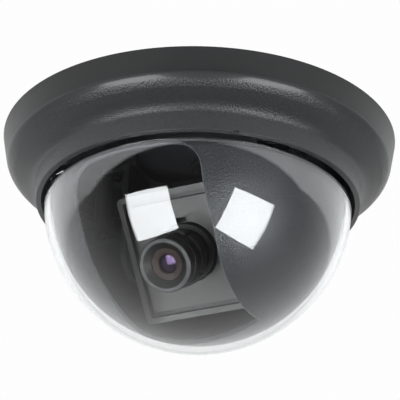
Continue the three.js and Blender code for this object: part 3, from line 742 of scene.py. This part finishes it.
def clear_dome():
    inside = DOME_RADIUS - DOME_WALL
    sphere = quarter_sphere(DOME_RADIUS, DOME_CENTRE, 96)
    outside = [point for point in sphere if point[1] < STEP_Z - 0.3]
    outline = [
        (inside, FLANGE_TOP),
        (FLANGE_RADIUS, FLANGE_TOP),
        (FLANGE_RADIUS, FLANGE_BOTTOM),
        (NECK_RADIUS, FLANGE_BOTTOM),
        (NECK_RADIUS, STEP_Z),
        *curve((NECK_RADIUS, STEP_Z), (DOME_RADIUS - 0.12, STEP_Z), outside[0]),
        *outside[1:],
        *quarter_sphere(inside, DOME_CENTRE, 96)[::-1],
    ]
    settle(turned("clear_dome_shell", outline), DOME, "cover", ["clear_dome"])


def clamp_ring():
    inside = DOME_RADIUS - 0.4
    low, high = ring_low.z, ring_high.z
    blank = turned("dome_clamp_ring_plate", rectangle(inside, ring_high.x, low, high))
    holes = [screw_hole(low - 1, high + 1, place) for place in screw_places(RING_SCREWS)]
    ring = bevelled(cut(blank, *holes), 0.2)
    settle(ring, RING_STEEL, "cover", ["dome_clamp_ring"])


# ---- liner

def sphere_below(radius, top):
    """Half the outline of a sphere about the dome's centre, from a flat rim down to the pole."""
    rim = math.sqrt(radius ** 2 - (DOME_CENTRE - top) ** 2)
    return [(rim, top)] + [p for p in quarter_sphere(radius, DOME_CENTRE, 96) if p[1] < top - 0.2]


def inner_liner():
    inside = LINER_RADIUS - LINER_WALL
    top = liner_high.z
    outline = sphere_below(LINER_RADIUS, top) + sphere_below(inside, top)[::-1]
    shell = turned("inner_liner_shell", outline)
    corner = SLOT_HALF - SLOT_CORNER
    slot = plate_across("slot", [
        (-SLOT_FOOT_HALF, dome_low.z),
        (SLOT_FOOT_HALF, dome_low.z),
        (SLOT_FOOT_HALF, SLOT_FOOT),
        (SLOT_HALF, SLOT_WAIST),
        *arc((corner, SLOT_TOP - SLOT_CORNER), SLOT_CORNER, 0, 90),
        *arc((-corner, SLOT_TOP - SLOT_CORNER), SLOT_CORNER, 90, 180),
        (-SLOT_HALF, SLOT_WAIST),
        (-SLOT_FOOT_HALF, SLOT_FOOT),
    ], -LINER_RADIUS - 5, SLOT_END)
    spun(slot, SLOT_TURN)
    tabs, holes = [], []
    for side in (-1, 1):
        ends = sorted((side * TAB_END, side * (inside + GAP)))
        tabs.append(block("tab", ends, (-TAB_HALF, TAB_HALF), (top - TAB_THICKNESS, top)))
        holes.append(screw_hole(top - 3, top + 1, (side * POST_X, 0)))
    cut(join(shell, *tabs), slot, *holes)
    settle(bevelled(shell, 0.22, 3), LINER, "pan", ["inner_liner"])


# ---- screws

HEAD_RADIUS = 1.5
HEAD_HEIGHT = 1.2
SHAFT_RADIUS = 0.9


def screw_shape(name, head_radius, head_height, shaft_radius, shaft_length, pitch=0.6):
    """A pan-head screw: a threaded shaft up from z = 0, a domed head with a cross below."""
    tip = [(0, shaft_length), (shaft_radius * 0.6, shaft_length)]
    thread = []
    turns = int((shaft_length - 1.2) / pitch)
    for i in range(turns):
        z = 1.0 + (i + 1) * pitch
        thread += [(shaft_radius * 0.8, z - pitch * 0.75), (shaft_radius, z - pitch * 0.5)]
    side = (head_radius, -head_height * 0.45)
    face = (head_radius * 0.5, -head_height)
    head = [
        (shaft_radius, 0),
        (head_radius, 0),
        side,
        *curve(side, (head_radius * 0.95, -head_height), face, 6),
        (0, -head_height),
    ]
    outline = head[::-1] + thread + tip[::-1]
    body = turned(name, outline, 32)
    reach, half = head_radius * 0.62, head_radius * 0.13
    floor = -head_height * 0.45
    cross = join(
        block("slot", (-reach, reach), (-half, half), (-2 * head_height, floor)),
        block("slot", (-half, half), (-reach, reach), (-2 * head_height, floor)),
    )
    return cut(body, cross)


def fixing(node, body, metal=STEEL, heads_down=True):
    low, high = box_mm(node)
    centre = (low + high) / 2
    shaft = high.z - low.z - HEAD_HEIGHT
    piece = screw_shape(f"{node}_turned", HEAD_RADIUS, HEAD_HEIGHT, SHAFT_RADIUS, shaft)
    if heads_down:
        place = Matrix.Translation(Vector((centre.x, centre.y, low.z + HEAD_HEIGHT)) * MM)
    else:
        flip = Matrix.Rotation(math.pi, 4, "X")
        place = Matrix.Translation(Vector((centre.x, centre.y, high.z - HEAD_HEIGHT)) * MM) @ flip
    settle(piece, metal, body, [node], to_row=place)


# ---- base, clamps and turntable

base_low, base_high = box_mm("base_plate")
BASE_RADIUS = base_high.x
SKIRT_BOTTOM = base_low.z
BASE_BOTTOM = -2.5
CLAMP_SCREWS = [f"pan_clamp_screw_{i}" for i in (1, 2, 3)]
YOKE_SCREWS = [f"yoke_screw_{i}" for i in (1, 2, 3, 4)]
grommet_low, grommet_high = box_mm("cable_grommet")
CABLE_Y = (grommet_low.y + grommet_high.y) / 2
CABLE_HOLE = 4.6
QUARTERS = (0, 90, 180, 270)
MOUNT_RADIUS = 42  # of the circle that the mount slots' middles are on


def slot_tool(degrees):
    end, half = 2.5, 2.5
    outline = arc((0, end), half, 0, 180, 16) + arc((0, -end), half, 180, 360, 16)
    tool = extruded("slot", outline, -4, 1)
    return spun(moved(tool, MOUNT_RADIUS, 0, 0), math.radians(degrees))


def base_plate():
    blank = turned("base_plate_moulding", [
        (0, 0),
        (BASE_RADIUS, 0),
        (BASE_RADIUS, SKIRT_BOTTOM),
        (BASE_RADIUS - 1.6, SKIRT_BOTTOM),
        (BASE_RADIUS - 1.6, BASE_BOTTOM),
        (0, BASE_BOTTOM),
    ])
    holes = [rod("hole", CABLE_HOLE, -4, 1, (0, CABLE_Y))]
    holes += [screw_hole(-4, -1.25, place) for place in screw_places(CLAMP_SCREWS)]
    groove = turned("groove", rectangle(20, 20.6, -0.35, 1))
    cut(blank, groove, *[slot_tool(angle) for angle in QUARTERS], *holes)
    settle(bevelled(blank, 0.25, 3), BASE, "base", ["base_plate"])


def grommet():
    low, high = grommet_low.z, grommet_high.z
    bore, sleeve, flange = 3.2, CABLE_HOLE - GAP, 6.2
    flange_top = BASE_BOTTOM - GAP
    tube = [(bore, high), (sleeve, high), (sleeve, flange_top)]
    outline = tube + [(flange, flange_top), (flange, low), (bore, low)]
    piece = turned("cable_grommet_ring", outline, SMALL_SIDES, soft=0.5)
    moved(piece, 0, CABLE_Y, 0)
    settle(piece, RUBBER, "base", ["cable_grommet"])


def copied(node, name):
    """A CAD node's own mesh, with its doubled vertices merged."""
    thing = in_scene(name, frame["nodes"][node].data.copy())
    work = bmesh.new()
    work.from_mesh(thing.data)
    bmesh.ops.remove_doubles(work, verts=work.verts, dist=1e-6)
    work.to_mesh(thing.data)
    work.free()
    for attribute in [a.name for a in thing.data.attributes if a.name.startswith("at")]:
        thing.data.attributes.remove(thing.data.attributes[attribute])
    return thing


def pan_clamp(i):
    piece = bevelled(copied(f"pan_clamp_{i}", f"pan_clamp_{i}_moulding"), 0.3, 3)
    settle(piece, TABLE, "base", [f"pan_clamp_{i}"])


table_low, table_high = box_mm("turntable")
TABLE_BOTTOM = table_high.z - 2
COLUMN_RADIUS = 2.2  # of the posts that screws go into


def turntable():
    inside, top = 17, table_high.z
    plate = turned("turntable_disc", rectangle(inside, table_high.x, TABLE_BOTTOM, top))
    posts, holes = [], []
    for side in (-1, 1):
        place = (side * POST_X, 0)
        posts.append(rod("post", COLUMN_RADIUS, table_low.z, TABLE_BOTTOM + 1, place))
        holes.append(screw_hole(table_low.z - 1, table_low.z + 4.3, place))
    holes += [screw_hole(TABLE_BOTTOM - 1, top + 1, place) for place in screw_places(YOKE_SCREWS)]
    cut(join(plate, *posts), *holes)
    settle(bevelled(plate, 0.25, 3), TABLE, "pan", ["turntable"])


# ---- yoke

SHEET = 1.5  # walls of the yoke and of the module's frame


def yoke_arm(name, side):
    low, high = box_mm(f"yoke_arm_{name}")
    inside = min(abs(low.x), abs(high.x))
    foot_end = max(abs(low.x), abs(high.x))
    pivot_z = PIVOT.z / MM
    half = 6
    outline = [(half, high.z), (-half, high.z), *arc((0, pivot_z), half, 180, 360, 32)]
    upright = plate_beside(f"yoke_arm_{name}_sheet", outline, inside, inside + SHEET)
    foot = block("foot", (inside, foot_end), (-half, half), (high.z - SHEET, high.z))
    pivot = reshaped(rod("hole", PIVOT_HOLE, 0, 30), TO_SIDE)
    moved(pivot, 0, 0, pivot_z)
    places = [(abs(x), y) for x, y in screw_places(YOKE_SCREWS) if x * side > 0]
    holes = [screw_hole(high.z - 3, high.z + 1, place) for place in places]
    arm = bevelled(cut(join(upright, foot), pivot, *holes), 0.3, 3)
    if side < 0:
        spun(arm, math.pi)
    settle(arm, YOKE, "pan", [f"yoke_arm_{name}"])


# ---- camera module

BOARD_SCREW = 12.8  # across and up, from the lens axis to each board screw
BOARD_PLACES = [(x * BOARD_SCREW, z * BOARD_SCREW) for x, z in ((1, 1), (-1, 1), (-1, -1), (1, -1))]
SPACER_RADIUS = 2
frame_low, frame_high = module_box("module_frame")
plate_low, plate_high = module_box("front_plate")
holder_low, holder_high = module_box("lens_holder")
barrel_low, barrel_high = module_box("lens_barrel")
FRAME_FRONT, FRAME_BACK = frame_low.y, frame_high.y
FRAME_HEIGHT = frame_high.z - frame_low.z
FRAME_WIDTH = frame_high.x - frame_low.x - 1.8  # the pivot bosses stand out 0.9 on each side


def forward_rod(name, radius, front, back, place=(0, 0), sides=SMALL_SIDES):
    return facing_forward(rod(name, radius, -back, -front, place, sides))


def in_module(thing, material, body, nodes=()):
    return settle(thing, material, body, nodes, to_row=TILTED)


def module_frame():
    inner_width = FRAME_WIDTH - 2 * SHEET
    inner_height = FRAME_HEIGHT - 2 * SHEET
    shell = slab("module_frame_moulding", FRAME_WIDTH, FRAME_HEIGHT, 1.6, FRAME_FRONT, FRAME_BACK)
    hollow = slab("hollow", inner_width, inner_height, 0.6, FRAME_FRONT - 1, FRAME_BACK + 1)
    ledge_front = FRAME_FRONT + SHEET + GAP
    ledge = slab("ledge", FRAME_WIDTH - 1, FRAME_HEIGHT - 1, 1, ledge_front, ledge_front + 1.2)
    opening = slab("opening", 20, 20, 2, ledge_front - 1, ledge_front + 3)
    columns, holes = [], []
    for place in BOARD_PLACES:
        columns.append(forward_rod("column", COLUMN_RADIUS, ledge_front + 0.8, 1.0, place))
        holes.append(forward_rod("hole", HOLE_RADIUS, ledge_front - 1, FRAME_BACK, place))
    bosses, across = [], frame_high.x
    for side in (-1, 1):
        ends = sorted((side * (FRAME_WIDTH / 2 - 0.7), side * across))
        bosses.append(reshaped(rod("boss", 3.4, *ends), TO_SIDE))
    bore = reshaped(rod("bore", PIVOT_HOLE, -across - 1, across + 1), TO_SIDE)
    cut(shell, hollow)
    join(shell, ledge)
    cut(shell, opening)
    join(shell, *columns, *bosses)
    cut(shell, *holes, bore)
    in_module(bevelled(shell, 0.25, 3), MODULE, "camera", ["module_frame"])


THREAD_RADIUS = 6
HOLDER_RADIUS = 7.5
WINDOW_RADIUS = HOLDER_RADIUS + 0.4
NOTCH_HALF = 1.45
PLATE_INSET = 0.5


def front_plate():
    """A little smaller than the CAD plate, so that a shadow line shows round it."""
    width = plate_high.x - plate_low.x - PLATE_INSET
    height = plate_high.z - plate_low.z - PLATE_INSET
    plate = slab("front_plate_moulding", width, height, 1.2, plate_low.y, plate_high.y)
    window = forward_rod("window", WINDOW_RADIUS, plate_low.y - 1, plate_high.y + 1)
    depth = (plate_low.y - 1, plate_high.y + 1)
    notch = block("notch", (-NOTCH_HALF, NOTCH_HALF), depth, (0, WINDOW_RADIUS + 1.3))
    piece = bevelled(cut(plate, window, notch), 0.2, 3)
    in_module(piece, MODULE, "camera", ["front_plate"])


def lens_holder():
    pocket_half = 6.5
    pocket_front = -1.2
    tower = forward_rod("lens_holder_moulding", HOLDER_RADIUS, holder_low.y, pocket_front + 0.5)
    foot = slab("foot", 19, 19, 2, pocket_front, holder_high.y)
    bore = forward_rod("bore", THREAD_RADIUS + GAP, holder_low.y - 1, 0)
    sides = (-pocket_half, pocket_half)
    pocket = block("pocket", sides, (pocket_front, holder_high.y + 1), sides)
    lock = rod("lock", 1.1, 0, 10, (0, -3.2))
    piece = bevelled(cut(join(tower, foot), bore, pocket, lock), 0.25, 3)
    in_module(piece, HOLDER, "camera", ["lens_holder"])


def turned_lens(name, outline, material, body, nodes, soft=0.08):
    """A turned lens piece: its z is the distance ahead of the tilt axis."""
    piece = facing_forward(turned(name, outline, 96, soft))
    return in_module(piece, material, body, nodes)


LENS_FRONT = -barrel_low.y
LENS_TAIL = -barrel_high.y
LENS_RADIUS = barrel_high.x
FRONT_BORE = 4.2
FUNNEL_DEPTH = 1.4
HEAD_BACK = LENS_FRONT - 7
FRONT_SEAT = LENS_FRONT - 4.3
REAR_SEAT = LENS_TAIL + 1.9


def lens_barrel():
    thread = []
    pitch = 0.5
    z = HEAD_BACK - pitch
    while z > LENS_TAIL + 0.8:
        thread += [(THREAD_RADIUS, z), (THREAD_RADIUS - 0.3, z - pitch / 2)]
        z -= pitch
    throat = 3
    outline = [
        (LENS_RADIUS - 1.1, LENS_FRONT),
        (LENS_RADIUS - 0.25, LENS_FRONT),
        (LENS_RADIUS, LENS_FRONT - 0.25),
        (LENS_RADIUS, LENS_FRONT - 3.2),
        (LENS_RADIUS - 0.3, LENS_FRONT - 3.4),
        (LENS_RADIUS - 0.3, LENS_FRONT - 3.9),
        (LENS_RADIUS, LENS_FRONT - 4.1),
        (LENS_RADIUS, HEAD_BACK),
        (THREAD_RADIUS, HEAD_BACK),
        *thread,
        (THREAD_RADIUS - 0.3, LENS_TAIL),
        (FRONT_BORE, LENS_TAIL),
        (FRONT_BORE, REAR_SEAT),
        (throat, REAR_SEAT),
        (throat, FRONT_SEAT),
        (FRONT_BORE, FRONT_SEAT),
        (FRONT_BORE, LENS_FRONT - FUNNEL_DEPTH),
        (LENS_RADIUS - 1.25, LENS_FRONT - 0.2),
    ]
    turned_lens("lens_barrel_turned", outline, LENS, "lens", ["lens_barrel"], 0.06)


def retaining_ring():
    front = LENS_FRONT - FUNNEL_DEPTH - 0.1
    rim = FRONT_BORE - 0.05
    bore = 2.35
    back = front - 0.9
    chamfer = [(bore, front - 0.45), (bore + 0.25, front - 0.25)]
    outline = [chamfer[1], (rim, front), (rim, back), (bore, back), chamfer[0]]
    piece = facing_forward(turned("front_retaining_ring_turned", outline, 96, 0.08))
    notches = [
        block("notch", sorted((side * 3.5, side * 5)), (-front - 1, -front + 0.3), (-0.3, 0.3))
        for side in (-1, 1)
    ]
    in_module(cut(piece, *notches), BRONZE, "lens", ["front_retaining_ring"])


def lens_elements():
    rim = FRONT_BORE - GAP
    back = FRONT_SEAT + GAP
    crown = back + 1.4
    edge = (rim, back + 0.5)
    bulge = curve(edge, (rim / 2, crown), (0, crown), 16)
    outline = [(0, back), (rim, back), edge, *bulge]
    turned_lens("front_element_glass", outline, GLASS, "lens", ["front_element"], 0)
    front = REAR_SEAT - GAP
    back = LENS_TAIL + GAP
    edge = (rim, back + 0.3)
    bulge = curve(edge, (rim / 2, back), (0, back), 16)
    outline = [(0, front), (rim, front), edge, *bulge]
    turned_lens("rear_element_glass", outline, GLASS, "lens", ["rear_element"], 0)


def lock_ring():
    low, high = module_box("lens_lock_ring")
    outer = LENS_RADIUS + 0.6
    outline = rectangle(THREAD_RADIUS + GAP, outer, -high.y, -low.y)
    piece = facing_forward(turned("lens_lock_ring_turned", outline, 96, 0.15))
    grips = []
    for degrees in (40, 130, 220, 310):
        grip = block("grip", (outer - 0.6, outer + 1), (low.y - 1, high.y + 1), (-0.6, 0.6))
        grips.append(spun(grip, math.radians(degrees), "Y"))
    ring = bevelled(cut(piece, *grips), 0.1)
    in_module(ring, LENS, "lock_ring", ["lens_lock_ring"])


def board(name, node):
    low, high = module_box(node)
    size = high - low
    piece = slab(name, size.x, size.z, 0.8, low.y, high.y)
    holes = [forward_rod("hole", HOLE_RADIUS, low.y - 1, high.y + 1, place) for place in BOARD_PLACES]
    in_module(bevelled(cut(piece, *holes), 0.08), BOARD, "camera", [node])


def small_parts():
    """The module's little blocks and cans."""
    for node, material, slot in (
        ("image_sensor", SENSOR, "sensor_glass"),
        ("processor_chip", CHIP, "chip_black"),
        ("power_connector", CONNECTOR, "connector_plastic"),
    ):
        piece = bevelled(copied(node, f"{node}_body"), 0.12)
        settle(piece, material, "camera", [node])
    for i in (1, 2):
        low, high = module_box(f"capacitor_{i}")
        centre = (low + high) / 2
        radius = (high.x - low.x) / 2
        can = turned(f"capacitor_{i}_can", [
            (0, -high.y), (radius - 0.5, -high.y), (radius, -high.y + 0.5), (radius, -low.y - 1.2),
            (radius - 0.3, -low.y - 1), (radius, -low.y - 0.7), (radius, -low.y), (0, -low.y),
        ], 48, 0.1)
        moved(can, centre.x, centre.z, 0)
        in_module(facing_forward(can), CAN, "camera", [f"capacitor_{i}"])
    low, high = module_box("lens_set_screw")
    pin = rod("lens_set_screw_turned", 0.8, low.z, high.z, (0, (low.y + high.y) / 2), 32)
    socket = rod("socket", 0.4, high.z - 0.7, high.z + 1, (0, (low.y + high.y) / 2), 6)
    in_module(bevelled(cut(pin, socket), 0.1), STEEL, "camera", ["lens_set_screw"])


def board_fixings():
    for i, (x, z) in enumerate(BOARD_PLACES, 1):
        low, high = module_box(f"board_spacer_{i}")
        outline = rectangle(HOLE_RADIUS, SPACER_RADIUS, -high.y, -low.y)
        spacer = facing_forward(turned(f"board_spacer_{i}_turned", outline, 32, 0.12))
        in_module(moved(spacer, x, 0, z), STEEL, "camera", [f"board_spacer_{i}"])
        low, high = module_box(f"board_screw_{i}")
        seat = high.y - HEAD_HEIGHT
        shaft = seat - low.y
        screw = screw_shape(f"board_screw_{i}_turned", HEAD_RADIUS, HEAD_HEIGHT, SHAFT_RADIUS, shaft)
        moved(facing_forward(screw), x, seat, z)
        in_module(screw, STEEL, "camera", [f"board_screw_{i}"])


def tilt_screws():
    for name, side in (("left", -1), ("right", 1)):
        low, high = module_box(f"tilt_screw_{name}")
        inner, outer = sorted((abs(low.x), abs(high.x)))
        head_height = 1.6
        seat = outer - head_height
        screw = screw_shape(f"tilt_screw_{name}_turned", 2.6, head_height, 1.5, seat - inner, 0.7)
        spun(screw, -side * math.pi / 2, "Y")
        moved(screw, side * seat, 0, 0)
        in_module(screw, STEEL, "camera", [f"tilt_screw_{name}"])


# ---- the whole camera

trim_cover()
clear_dome()
clamp_ring()
inner_liner()
base_plate()
grommet()
for number in (1, 2, 3):
    pan_clamp(number)
turntable()
for arm_name, arm_side in (("left", -1), ("right", 1)):
    yoke_arm(arm_name, arm_side)
for screw_node in CLAMP_SCREWS:
    fixing(screw_node, "base")
for screw_node in YOKE_SCREWS + ["liner_screw_left", "liner_screw_right"]:
    fixing(screw_node, "pan", BLACKENED)
for screw_node in RING_SCREWS:
    fixing(screw_node, "cover", BLACKENED, heads_down=False)
module_frame()
front_plate()
lens_holder()
lens_barrel()
retaining_ring()
lens_elements()
lock_ring()
board("sensor_board_laminate", "sensor_board")
board("power_board_laminate", "power_board")
small_parts()
board_fixings()
tilt_screws()


# ---- studio

# The camera, its target and the lamps are in metres.
CAMERA_AZIMUTH = math.radians(26.5)  # from the front towards +X
CAMERA_DROP = math.radians(26.15)  # below the ceiling's level
CAMERA_ROLL = math.radians(1.268)
CAMERA_DISTANCE = 0.728
TARGET = Vector((0, 0, -0.0286))
AIM_RIGHT = 0.00103  # the target sits a little left of and below the middle of the frame
AIM_UP = 0.01442
LENS_MM = 250.5
BRIGHT_AZIMUTH = math.radians(-145)  # where the studio is brightest


def direction(azimuth, elevation):
    """A unit vector: azimuth from -Y towards +X, elevation above the level."""
    return Vector((
        math.sin(azimuth) * math.cos(elevation),
        -math.cos(azimuth) * math.cos(elevation),
        math.sin(elevation),
    ))


def add_camera():
    towards = -direction(CAMERA_AZIMUTH, -CAMERA_DROP)
    level_right = towards.cross(Vector((0, 0, 1))).normalized()
    level_up = level_right.cross(towards)
    right = math.cos(CAMERA_ROLL) * level_right + math.sin(CAMERA_ROLL) * level_up
    up = math.cos(CAMERA_ROLL) * level_up - math.sin(CAMERA_ROLL) * level_right
    view = (towards + AIM_RIGHT * right + AIM_UP * up).normalized()
    right = (right - right.dot(view) * view).normalized()
    data = bpy.data.cameras.new("camera")
    data.lens = LENS_MM
    data.sensor_width = 36
    data.clip_end = 50
    thing = in_scene("camera", data)
    turn = Matrix((right, right.cross(view), -view)).transposed().to_4x4()
    thing.matrix_world = Matrix.Translation(TARGET - towards * CAMERA_DISTANCE) @ turn
    bpy.context.scene.camera = thing


SOFTBOX_DISTANCE = 0.9
SOFTBOX_RADIANCE = 8.2
STOP_RADIUS = 5.5


def add_softbox(name, azimuth, elevation, across, size):
    """A rectangular lamp that faces the dome, with one side along a given direction."""
    away = direction(math.radians(azimuth), math.radians(elevation))
    side = Vector(across)
    side = (side - side.dot(away) * away).normalized()
    data = bpy.data.lights.new(name, "AREA")
    data.shape = "RECTANGLE"
    data.size, data.size_y = size
    data.energy = SOFTBOX_RADIANCE * math.pi * size[0] * size[1]
    data.color = (0.96, 0.985, 1.0)
    thing = in_scene(name, data)
    turn = Matrix((side, away.cross(side), away)).transposed().to_4x4()
    place = Vector((0, 0, DOME_CENTRE * MM)) + away * SOFTBOX_DISTANCE
    thing.matrix_world = Matrix.Translation(place) @ turn
    thing.visible_camera = False


def add_world():
    """White behind the object for the camera, and for reflections bright at the back, dark in front."""
    world = bpy.data.worlds.new("studio")
    world.use_nodes = True
    tree = world.node_tree
    ground = tree.nodes["Background"]
    place = tree.nodes.new("ShaderNodeTexCoord")
    facing = tree.nodes.new("ShaderNodeVectorMath")
    facing.operation = "DOT_PRODUCT"
    facing.inputs[1].default_value = direction(BRIGHT_AZIMUTH, 0)
    tree.links.new(place.outputs["Generated"], facing.inputs[0])
    fade = tree.nodes.new("ShaderNodeMapRange")
    set_limits(fade, -0.3, 1.0, 0.05, 0.9)
    tree.links.new(facing.outputs["Value"], fade.inputs["Value"])
    path = tree.nodes.new("ShaderNodeLightPath")
    pick = tree.nodes.new("ShaderNodeMix")
    pick.data_type = "FLOAT"
    tree.links.new(path.outputs["Is Camera Ray"], pick.inputs[0])
    tree.links.new(fade.outputs["Result"], pick.inputs[2])
    pick.inputs[3].default_value = 0.985
    tree.links.new(pick.outputs[0], ground.inputs["Strength"])
    ground.inputs["Color"].default_value = (1, 1, 1, 1)
    bpy.context.scene.world = world


def add_board():
    """The pale board that the camera hangs from, open above it, whose front edge the dome mirrors.

    A dark stop stands behind each mount slot, as the head of the mounting screw would.
    """
    left, right, front, back = -1600, 438, -105, 900
    hole = COVER_RADIUS - 2
    inner, outer = [], []
    for i in range(SIDES):
        angle = 2 * math.pi * i / SIDES
        x, y = math.cos(angle), math.sin(angle)
        inner.append((hole * x, hole * y, 0))
        reach = min(
            (right if x > 0 else left) / x if abs(x) > 1e-9 else math.inf,
            (back if y > 0 else front) / y if abs(y) > 1e-9 else math.inf,
        )
        outer.append((reach * x, reach * y, 0))
    faces = [[i, SIDES + i, SIDES + (i + 1) % SIDES, (i + 1) % SIDES] for i in range(SIDES)]
    board = make_object("board", inner + outer, faces)
    lift = Matrix.Translation((0, 0, 0.0002))
    board.matrix_world = lift @ Matrix.Rotation(CAMERA_AZIMUTH, 4, "Z")
    board.visible_camera = False
    paint = Paint("board_paint", (0.86, 0.86, 0.86), 0.8)
    paint.set(Emission_Color=(1, 1, 1, 1), Emission_Strength=0.25)
    board.data.materials.append(paint.material)
    dark = Paint("stop_paint", grey(12), 0.9).material
    for degrees in QUARTERS:
        stop = rod("slot_stop", STOP_RADIUS, 1.2, 1.4, on_circle(MOUNT_RADIUS, degrees))
        stop.data.materials.append(dark)
        stop.visible_camera = False


add_camera()
add_softbox("softbox_left", -14.2, -30.5, (0.976, -0.212, -0.059), (0.535, 0.525))
add_softbox("softbox_right", 69.2, -32.0, (0.321, 0.945, -0.056), (0.54, 0.528))
add_world()
add_board()
bpy.context.scene.view_settings.view_transform = "Standard"
